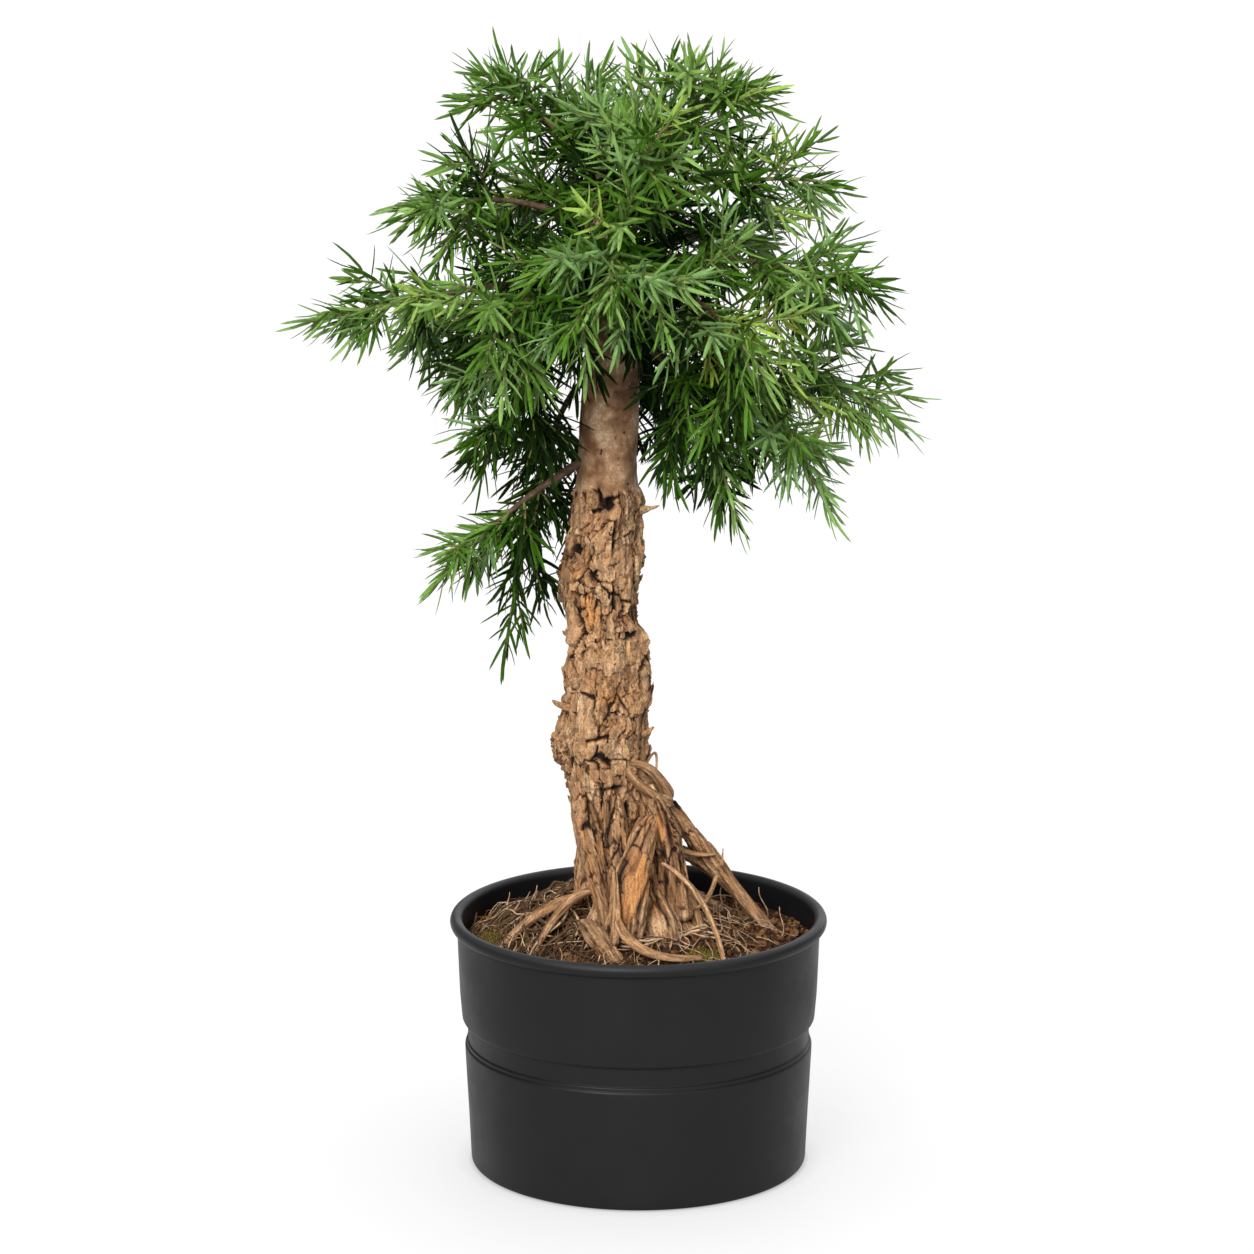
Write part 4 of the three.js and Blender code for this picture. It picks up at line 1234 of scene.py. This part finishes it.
# Crown: the height where each limb leaves the trunk, its side, reach, tip height, arch and bare share,
# how many side shoots it bears and how long they are
limbs = {
    "top": (548, 182, 27, 577, 10, 0, 4, 34), "top_left": (530, 186, 66, 593, 9, 0.3, 5, 30),
    "top_right": (526, -12, 78, 589, 12, 0.3, 5, 40), "top_back": (518, 62, 74, 556, 12, 0.3, 5, 42),
    "top_front": (516, -72, 84, 546, 16, 0.3, 5, 42),
    "left_upper": (506, 192, 110, 520, 14, 0.36, 5, 38),
    "right_upper": (508, -6, 117, 536, 12, 0.36, 5, 34),
    "back_upper": (500, 118, 118, 516, 14, 0.36, 5, 42),
    "left_far": (486, 186, 158, 464, 4, 0.46, 5, 30), "right": (490, -18, 147, 480, 12, 0.4, 5, 44),
    "back_right": (484, 46, 128, 486, 14, 0.38, 5, 40), "front": (488, -90, 110, 486, 22, 0.34, 6, 54),
    "front_left": (478, 232, 112, 456, 20, 0.38, 5, 50),
    "front_right": (474, -50, 122, 446, 22, 0.38, 5, 52), "back": (470, 92, 128, 456, 18, 0.38, 5, 54),
    "back_left": (466, 148, 130, 434, 16, 0.38, 5, 50),
    "right_low": (462, -6, 154, 408, 14, 0.42, 5, 38),
    "right_hanging": (452, -20, 122, 366, 36, 0.42, 5, 44),
    "front_low": (444, -38, 83, 366, 34, 0.4, 5, 42), "back_low": (448, 62, 84, 372, 34, 0.4, 5, 46),
    "left_low": (456, 196, 72, 382, 28, 0.4, 6, 44),
    "left_hanging": (393, 194, 92, 326, 8, 0.42, 3, 26),
    "left_trailing": (424, 150, 66, 276, 54, 0.4, 6, 46),
}
growth = {
    "seed": 20240,
    "spacing": 8,
    "shootLean": 56,
    "shootBend": 0.08,
    "firstShoot": 0.14,
    "shootZone": 0.66,
    "gap": 0.32,
    "frameSteps": 24,
    "boughRadius": 2.1,
    "boughSwell": 0.009,
    "stemRadius": 1.6,
    "twigRadius": 1.0,
    "sideRadius": 0.8,
    "sideSpacing": 11,
    "sideZone": (0.16, 0.7),
    "sideLength": (0.5, 0.9),
    "sideLean": 45,
    "innerFrom": 445,
    "innerShares": (0.36, 0.5, 0.66, 0.82),
    "innerLength": 0.5,
    "reach": ((-165, -115, 250), (142, 130, 600)),
    "droop": 0.45,
    "hangBelow": (480, 570),
}


def limbCurve(start, side, out, tip, arch, bare):
    angle = math.radians(side)
    x, y, _ = trunkAt(start)
    foot = np.array([x, y, start])
    end = np.array([x + out * math.cos(angle), y + out * math.sin(angle), tip])
    middle = foot.copy() if bare == 0 else (foot + end) / 2
    middle[2] += arch * 2
    return Curve(foot, middle, end)


# Twigs and needles hang a little, but not at the top of the crown.
def hang(heading, height, droop):
    low, high = growth["hangBelow"]
    weight = np.array([0, 0, -droop * (1 - smoothStep(height, low, high))])
    return unit(heading + weight)


# A side shoot that would grow out of the crown's reach is cut short.
def withinReach(foot, heading, length):
    low, high = growth["reach"]
    for _ in range(8):
        end = foot + heading * length
        if (end > low).all() and (end < high).all():
            break
        length *= 0.8
    return length


def shootFrom(kind, frames, share, roll, lean, length):
    index = round(share * (len(frames["points"]) - 1))
    foot, side, lift, along = (frames[key][index] for key in ("points", "sides", "lifts", "alongs"))
    heading = between(along, between(side, lift, roll), lean)
    if kind == "side":
        heading = hang(heading, foot[2], growth["droop"])
        length = withinReach(foot, heading, length)
    end = foot + heading * length
    middle = (foot + end) / 2 - along * growth["shootBend"] * length
    return {"kind": kind, "curve": Curve(foot, middle, end), "start": 0.0}


# A limb's twigs: the stem and shoots of the CAD model's rule, and finer side shoots by the same rule.
def growLimb(number, row):
    bare, shoots, grow = row[5:]
    steps = growth["frameSteps"]
    draw = seededDraw(growth["seed"] + number * 977)
    curve = limbCurve(*row[:6])
    start = bare + growth["gap"] / curve.length()
    stemSteps = max(4, round(curve.length() * (1 - start) / growth["spacing"]))
    frames = framesAlong(curve, start, 1, stemSteps)
    draw()  # the source's rule spends a draw here, and one after each shoot
    twigs = [{"kind": "stem", "curve": curve, "start": start}]
    for shoot in range(shoots):
        share = growth["firstShoot"] + growth["shootZone"] * (shoot + 0.35 * draw()) / shoots
        roll = math.radians(shoot * goldenAngle + 40 * draw() + number * 61)
        lean = math.radians(growth["shootLean"] + 12 * (draw() - 0.5))
        length = grow * (1 - 0.35 * share) * (0.85 + 0.3 * draw())
        draw()
        twigs.append(shootFrom("shoot", frames, share, roll, lean, length))
    finer = seededDraw(growth["seed"] * 3 + number * 1709)
    if row[0] > growth["innerFrom"] and bare > 0:
        frames = framesAlong(curve, 0, bare, steps)
        for inner, share in enumerate(growth["innerShares"]):
            roll = math.radians(inner * goldenAngle + 90 * finer())
            length = grow * growth["innerLength"] * (0.8 + 0.4 * finer())
            lean = math.radians(growth["shootLean"])
            twigs.append(shootFrom("inner", frames, share, roll, lean, length))
    first, zone = growth["sideZone"]
    low, high = growth["sideLength"]
    for parent in list(twigs):
        count = int(parent["curve"].length(parent["start"]) / growth["sideSpacing"])
        frames = framesAlong(parent["curve"], parent["start"], 1, steps)
        for side in range(count):
            share = first + zone * (side + 0.6 * finer()) / count
            roll = math.radians(side * goldenAngle + 50 * finer())
            lean = math.radians(growth["sideLean"] + 14 * (finer() - 0.5))
            length = grow * (low + (high - low) * finer()) * (1 - 0.45 * share)
            twigs.append(shootFrom("side", frames, share, roll, lean, length))
    return twigs


needles = {
    "seed": 53,
    "spacing": 1.7,
    "length": (14, 24),
    "width": (1.85, 2.4),
    "footLean": 60,
    "tipLean": 36,
    "leanSpread": 6,
    "turnSpread": 9,
    "crowding": 0.94,  # under 1, needles stand closer towards the tip
    "tuftLength": 9,
    "closedFrom": 0.93,  # the share of the tuft past which needles close, and how far
    "closedLean": 26,
    "tilt": 0.25,
    "bend": (0.02, 0.3),
    "droop": 0.28,
    "shares": [0, 0.12, 0.5, 0.83, 1],
    "widths": [0.64, 1, 0.94, 0.66, 0],
    "trunkRoom": 0.8,
    # how far the crown reaches at each height, and the shares of it within which sprays get painted shade,
    # dark and fairly dark
    "crownHeights": [300, 380, 440, 500, 560, 600],
    "crownReach": [90, 120, 150, 140, 110, 80],
    "paintedShadeWithin": 0.5,
    "paintedDimWithin": 0.72,
    "shadeBelow": 562,
    "paintedLightFrom": -48,  # sprays nearer the front than this get lighter greens: painted light on the lit front
    "chances": {  # how often greens are dealt to sprays in front, as painted light, and fairly deep and deep in the crown, as painted shade
        "front": {"blue": 0.34, "leaf": 0.34, "fresh": 0.05, "deep": 0.06},
        "dim": {"shade": 0.3, "deep": 0.3, "blue": 0.08, "leaf": 0.06, "fresh": 0},
        "dark": {"shade": 0.65, "deep": 0.35},
    },
    # bare share at a twig's foot, and the size of its needles
    "kinds": {"stem": (0.25, 1), "shoot": (0.08, 1), "side": (0.1, 0.9), "inner": (0.1, 0.9)},
    "greens": {  # plain base colours dealt out by spray, how often each is dealt, and its sheen
        "shade": ((0.007, 0.024, 0.0006), 0.0, 0.02),
        "deep": ((0.036, 0.105, 0.003), 0.12, 0.03),
        "forest": ((0.072, 0.172, 0.012), 0.24, 0.12),
        "moss": ((0.118, 0.235, 0.030), 0.19, 0.24),
        "blue": ((0.150, 0.278, 0.076), 0.23, 0.24),
        "leaf": ((0.190, 0.330, 0.072), 0.19, 0.25),
        "fresh": ((0.28, 0.42, 0.07), 0.03, 0.18),
        "olive": ((0.16, 0.21, 0.02), 0.01, 0.1),
    },
    "roughness": 0.42,
}


# Needles spiral up a twig, leaning less towards its tip, where they close into a tuft.
def needlesOn(twig, random):
    curve, start = twig["curve"], twig["start"]
    bare, grown = needles["kinds"][twig["kind"]]
    length = curve.length(start)
    begin = start + (1 - start) * bare
    count = max(8, int(length * (1 - bare) / needles["spacing"]))
    shares = begin + (1 - begin) * np.linspace(0, 1, count) ** needles["crowding"]
    steps = 40
    frames = framesAlong(curve, begin, 1, steps)
    index = np.clip(np.round((shares - begin) / (1 - begin) * steps).astype(int), 0, steps)
    turn = np.arange(count) * goldenAngle + random.uniform(0, 360)
    turn = np.radians(turn + random.normal(0, needles["turnSpread"], count))
    along = frames["alongs"][index]
    across = between(frames["sides"][index], frames["lifts"][index], turn)
    end = smoothStep(shares, 1 - needles["tuftLength"] / max(length, 1), 1)
    lean = needles["footLean"] + (needles["tipLean"] - needles["footLean"]) * end
    lean -= needles["closedLean"] * (end > needles["closedFrom"])
    lean = np.radians(lean + random.normal(0, needles["leanSpread"], count))
    heading = hang(between(along, across, lean), curve.end[2], needles["droop"])
    facing = squaredTo(heading, along)
    facing = between(facing, np.cross(heading, facing), random.normal(0, needles["tilt"], count))
    size = random.uniform(*needles["length"], count) * (1 - 0.1 * end) * grown
    foot = curve.point(shares) + across * growth["twigRadius"] * 0.5
    bend = random.uniform(*needles["bend"], count)
    width = random.uniform(*needles["width"], count)
    return foot, heading, facing, size, bend, width


def clearOfTrunk(foot, heading, size):
    free = np.ones(len(foot), dtype=bool)
    for share in (0.15, 0.4, 0.7, 1):
        point = foot + heading * (size * share)[:, None]
        middleX, middleY, radius = trunkAt(point[:, 2])
        inside = np.hypot(point[:, 0] - middleX, point[:, 1] - middleY) < radius + needles["trunkRoom"]
        free &= ~(inside & (point[:, 2] < trunk["heights"][-1]))
    return free


def needleArrays(foot, heading, facing, size, bend, width):
    across = np.cross(heading, facing)
    section = np.array([[-0.5, 0], [0, 0.15], [0.5, 0], [0, -0.17]])  # keeled on both sides
    rings = []
    for share, broad in zip(needles["shares"][:-1], needles["widths"][:-1]):
        middle = foot + heading * (size * share)[:, None] + facing * (bend * size * share**2)[:, None]
        for aside, up in section:
            rings.append(middle + (across * aside + facing * up) * (width * broad)[:, None])
    rings.append(foot + heading * size[:, None] + facing * (bend * size)[:, None])
    faces = [(0, 2, 1), (0, 3, 2)]
    last = 4 * (len(needles["shares"]) - 2)
    for ring in range(last // 4):
        for corner in range(4):
            low, high = ring * 4, ring * 4 + 4
            after = (corner + 1) % 4
            faces.append((low + corner, low + after, high + after))
            faces.append((low + corner, high + after, high + corner))
    faces += [(last + corner, last + (corner + 1) % 4, last + 4) for corner in range(4)]
    return joinCopies(np.stack(rings, 1), faces)


def needleMaterial(name, colour, sheen):
    board = Board(name)
    cloud = board.noise(board.place(), 12, 3)
    fleck = board.noise(board.place(), 1.4, 4)
    light = tuple(value * 1.35 + 0.01 for value in colour)
    tint = board.mix(board.spread(cloud * 0.6 + fleck * 0.4, 0.36, 0.64), shaded(colour, 0.68), light)
    roughness = board.spread(fleck, 0.3, 0.7, needles["roughness"] - 0.05, needles["roughness"] + 0.1)
    return board.finish(tint, roughness, board.bump(fleck, 0.15, 0.4), sheen)


# Light and dark colour of each kind of twig
twigColours = {
    "twigs_woody": ((0.20, 0.125, 0.07), (0.07, 0.04, 0.022)),
    "twigs_green": ((0.23, 0.29, 0.075), (0.12, 0.14, 0.04)),
    "twigs_fresh": ((0.36, 0.45, 0.10), (0.2, 0.28, 0.06)),
}


# How often each green is dealt to a spray: the dark ones deep in the crown, as painted shade, and the light
# ones outside, more of them at the front, as painted light.
def chancesOf(twig):
    weights = {green: row[1] for green, row in needles["greens"].items()}
    changes = needles["chances"]
    end = twig["curve"].end
    middleX, middleY, _ = trunkAt(end[2])
    reach = np.interp(end[2], needles["crownHeights"], needles["crownReach"])
    depth = math.hypot(end[0] - middleX, end[1] - middleY) / reach
    if twig["kind"] == "stem":
        weights["fresh"] = 0
        weights["deep"] *= 2
    if twig["kind"] == "side":
        weights["fresh"] *= 1.6
    # painted light: sprays at the front get lighter greens
    if end[1] < needles["paintedLightFrom"]:
        weights.update(changes["front"])
    # painted shade: sprays deep in the crown get darker greens
    if end[2] < needles["shadeBelow"] and depth < needles["paintedDimWithin"]:
        weights.update(changes["dim"])
    if end[2] < needles["shadeBelow"] and depth < needles["paintedShadeWithin"]:
        weights = {green: changes["dark"].get(green, 0) for green in weights}
    weights = np.array(list(weights.values()))
    return weights / weights.sum()


# A stem is woody up to a part of its way, and green beyond it.
def stemTubes(frames, radii):
    split = len(radii) // 2
    woody = {key: values[: split + 1] for key, values in frames.items()}
    green = {key: values[split:] for key, values in frames.items()}
    return tube(woody, radii[: split + 1], 6), tube(green, radii[split:], 6)


def makeCrown():
    random = np.random.default_rng(needles["seed"])
    greens = list(needles["greens"])
    sprays = {green: [] for green in greens}
    owners = {green: set() for green in greens}
    twigParts = {name: [] for name in twigColours}
    for number, (name, row) in enumerate(limbs.items()):
        for twig in growLimb(number, row):
            green = greens[random.choice(len(greens), p=chancesOf(twig))]
            spray = needlesOn(twig, random)
            free = clearOfTrunk(spray[0], spray[1], spray[3])
            sprays[green].append([values[free] for values in spray])
            owners[green].add("foliage_" + name)
            isStem = twig["kind"] == "stem"
            steps = 16 if isStem else 6
            frames = framesAlong(twig["curve"], twig["start"], 1, steps)
            thick = growth[{"stem": "stemRadius", "side": "sideRadius"}.get(twig["kind"], "twigRadius")]
            radii = thick * np.linspace(1, 0.5, steps + 1)
            leafy = twigParts["twigs_fresh" if green == "fresh" else "twigs_green"]
            if isStem:
                woodyTube, leafyTube = stemTubes(frames, radii)
                twigParts["twigs_woody"].append(woodyTube)
                leafy.append(leafyTube)
            else:
                leafy.append(tube(frames, radii, 5))
    total = 0
    for green in greens:
        arrays = [np.concatenate(values) for values in zip(*sprays[green])]
        total += len(arrays[0])
        colour, _, sheen = needles["greens"][green]
        material = needleMaterial(green + "Needles", colour, sheen)
        piece = meshFromArrays("needles_" + green, *needleArrays(*arrays), material)
        settle(piece, "needles", *sorted(owners[green]))
    for name, (light, dark) in twigColours.items():
        material = woodMaterial(name + "Bark", light, dark)
        settleTubes(name, twigParts[name], material, "needles")
    print("needles:", total)


boughs = {
    "sides": 12,
    "steps": 40,
    "knots": 0.12,
    "light": (0.20, 0.12, 0.07),
    "dark": (0.065, 0.036, 0.02),
}


def makeBoughs():
    sides, steps = boughs["sides"], boughs["steps"]
    turn = np.broadcast_to(np.linspace(0, 1, sides + 1)[:-1], (steps + 1, sides))
    shares = np.linspace(0, 1, steps + 1)
    parts = []
    names = []
    for name, row in limbs.items():
        out, bare = row[2], row[5]
        if bare == 0:
            continue
        names.append("bough_" + name)
        frames = framesAlong(limbCurve(*row[:6]), 0, bare + 0.02, steps)
        thick = growth["boughRadius"] + out * growth["boughSwell"]
        radii = thick + (growth["stemRadius"] - thick) * shares
        knots = softNoise(turn, shares[:, None] * 14 + row[0], 6, 131)
        corners, faces = tube(frames, radii, sides)
        middle = np.repeat(frames["points"], sides, axis=0)
        rings = corners[:-2]
        rings[:] = middle + (rings - middle) * (1 + boughs["knots"] * knots.reshape(-1, 1))
        parts.append((corners, faces))
    material = woodMaterial("boughBark", boughs["light"], boughs["dark"], 4)
    settleTubes("bough_wood", parts, material, "bough_bark", *names)


makeBoughs()
makeCrown()
print("stage: crown made")


# Stage: a pale floor with a painted shadow round the pot's foot, soft light from the left, right and above,
# and the camera.
stage = {
    "floorSize": 40,
    "floorColours": [(0.08, 0.08, 0.08), (0.085, 0.085, 0.085)],
    "floorGlow": 0.9,
    # a painted contact shadow: the glow fades towards the pot's foot: metres from the pot's axis, and the
    # share left
    "paintedContactShadow": [(0.088, 0.35), (0.093, 0.8), (0.101, 0.88), (0.117, 0.91), (0.145, 0.95), (0.2, 1)],
    "worldStrength": 0.2,
    "camera": (-6.2, -2600, 895),
    "cameraPitch": 12.96,
    "lens": 143.54,
    "sensor": 36,
    "farthest": 100,
    # name, where it shines from, how wide it looks in degrees, and its strength
    "lights": [
        ("keyLight", (-0.6, -1.5, 1.1), 30, 4.0),
        ("fillLight", (1.1, -1.4, 0.4), 60, 1.1),
        ("backLight", (0.5, 1.5, 0.9), 60, 0.9),
    ],
}


def aimAt(thing, target):
    x, y, z = np.array(target) - np.array(thing.location)
    thing.rotation_euler = (math.atan2(math.hypot(x, y), -z), 0, math.atan2(-x, y))


def makeFloor():
    deselectAll()
    bpy.ops.mesh.primitive_plane_add(size=stage["floorSize"], location=(0, 0, 0))
    floor = bpy.context.object
    floor.name = "studio_floor"
    board = Board("paleFloor")
    soft = board.noise(board.place(), 900, 2)
    tint = board.mix(board.spread(soft, 0.3, 0.7), *stage["floorColours"])
    floor.data.materials.append(board.finish(tint, 0.7, None, 0.2))
    away = board.node("ShaderNodeVectorMath", {"operation": "LENGTH"}, {0: board.place()}, "Value")
    far = stage["paintedContactShadow"][-1][0]
    stops = [(reach / far, (share,) * 3) for reach, share in stage["paintedContactShadow"]]
    # painted shadow: the floor's glow is dimmed in a ring round the pot's foot
    board.feed(board.shader.inputs["Emission Color"], board.ramp(board.spread(away, 0, far), stops))
    board.shader.inputs["Emission Strength"].default_value = stage["floorGlow"]
    floor.visible_diffuse = False  # its glow doesn't light the tree from below


def makeLights():
    for name, place, width, strength in stage["lights"]:
        lamp = bpy.data.lights.new(name, "SUN")
        lamp.angle = math.radians(width)
        lamp.energy = strength
        light = bpy.data.objects.new(name, lamp)
        light.location = place
        aimAt(light, (0, 0, 0))
        bpy.context.collection.objects.link(light)
    world = bpy.data.worlds.new("softStudio")
    world.use_nodes = True
    sky = world.node_tree.nodes["Background"].inputs
    sky["Color"].default_value = (1, 1, 1, 1)
    sky["Strength"].default_value = stage["worldStrength"]
    bpy.context.scene.world = world


def makeCamera():
    lens = bpy.data.cameras.new("photoCamera")
    lens.lens = stage["lens"]
    lens.sensor_width = stage["sensor"]
    lens.clip_end = stage["farthest"]
    camera = bpy.data.objects.new("photoCamera", lens)
    camera.location = [value * mm for value in stage["camera"]]
    camera.rotation_euler = (math.radians(90 - stage["cameraPitch"]), 0, 0)
    bpy.context.collection.objects.link(camera)
    bpy.context.scene.camera = camera
    bpy.context.scene.view_settings.view_transform = "Standard"


makeFloor()
makeLights()
makeCamera()
print("stage: floor, lights and camera made")
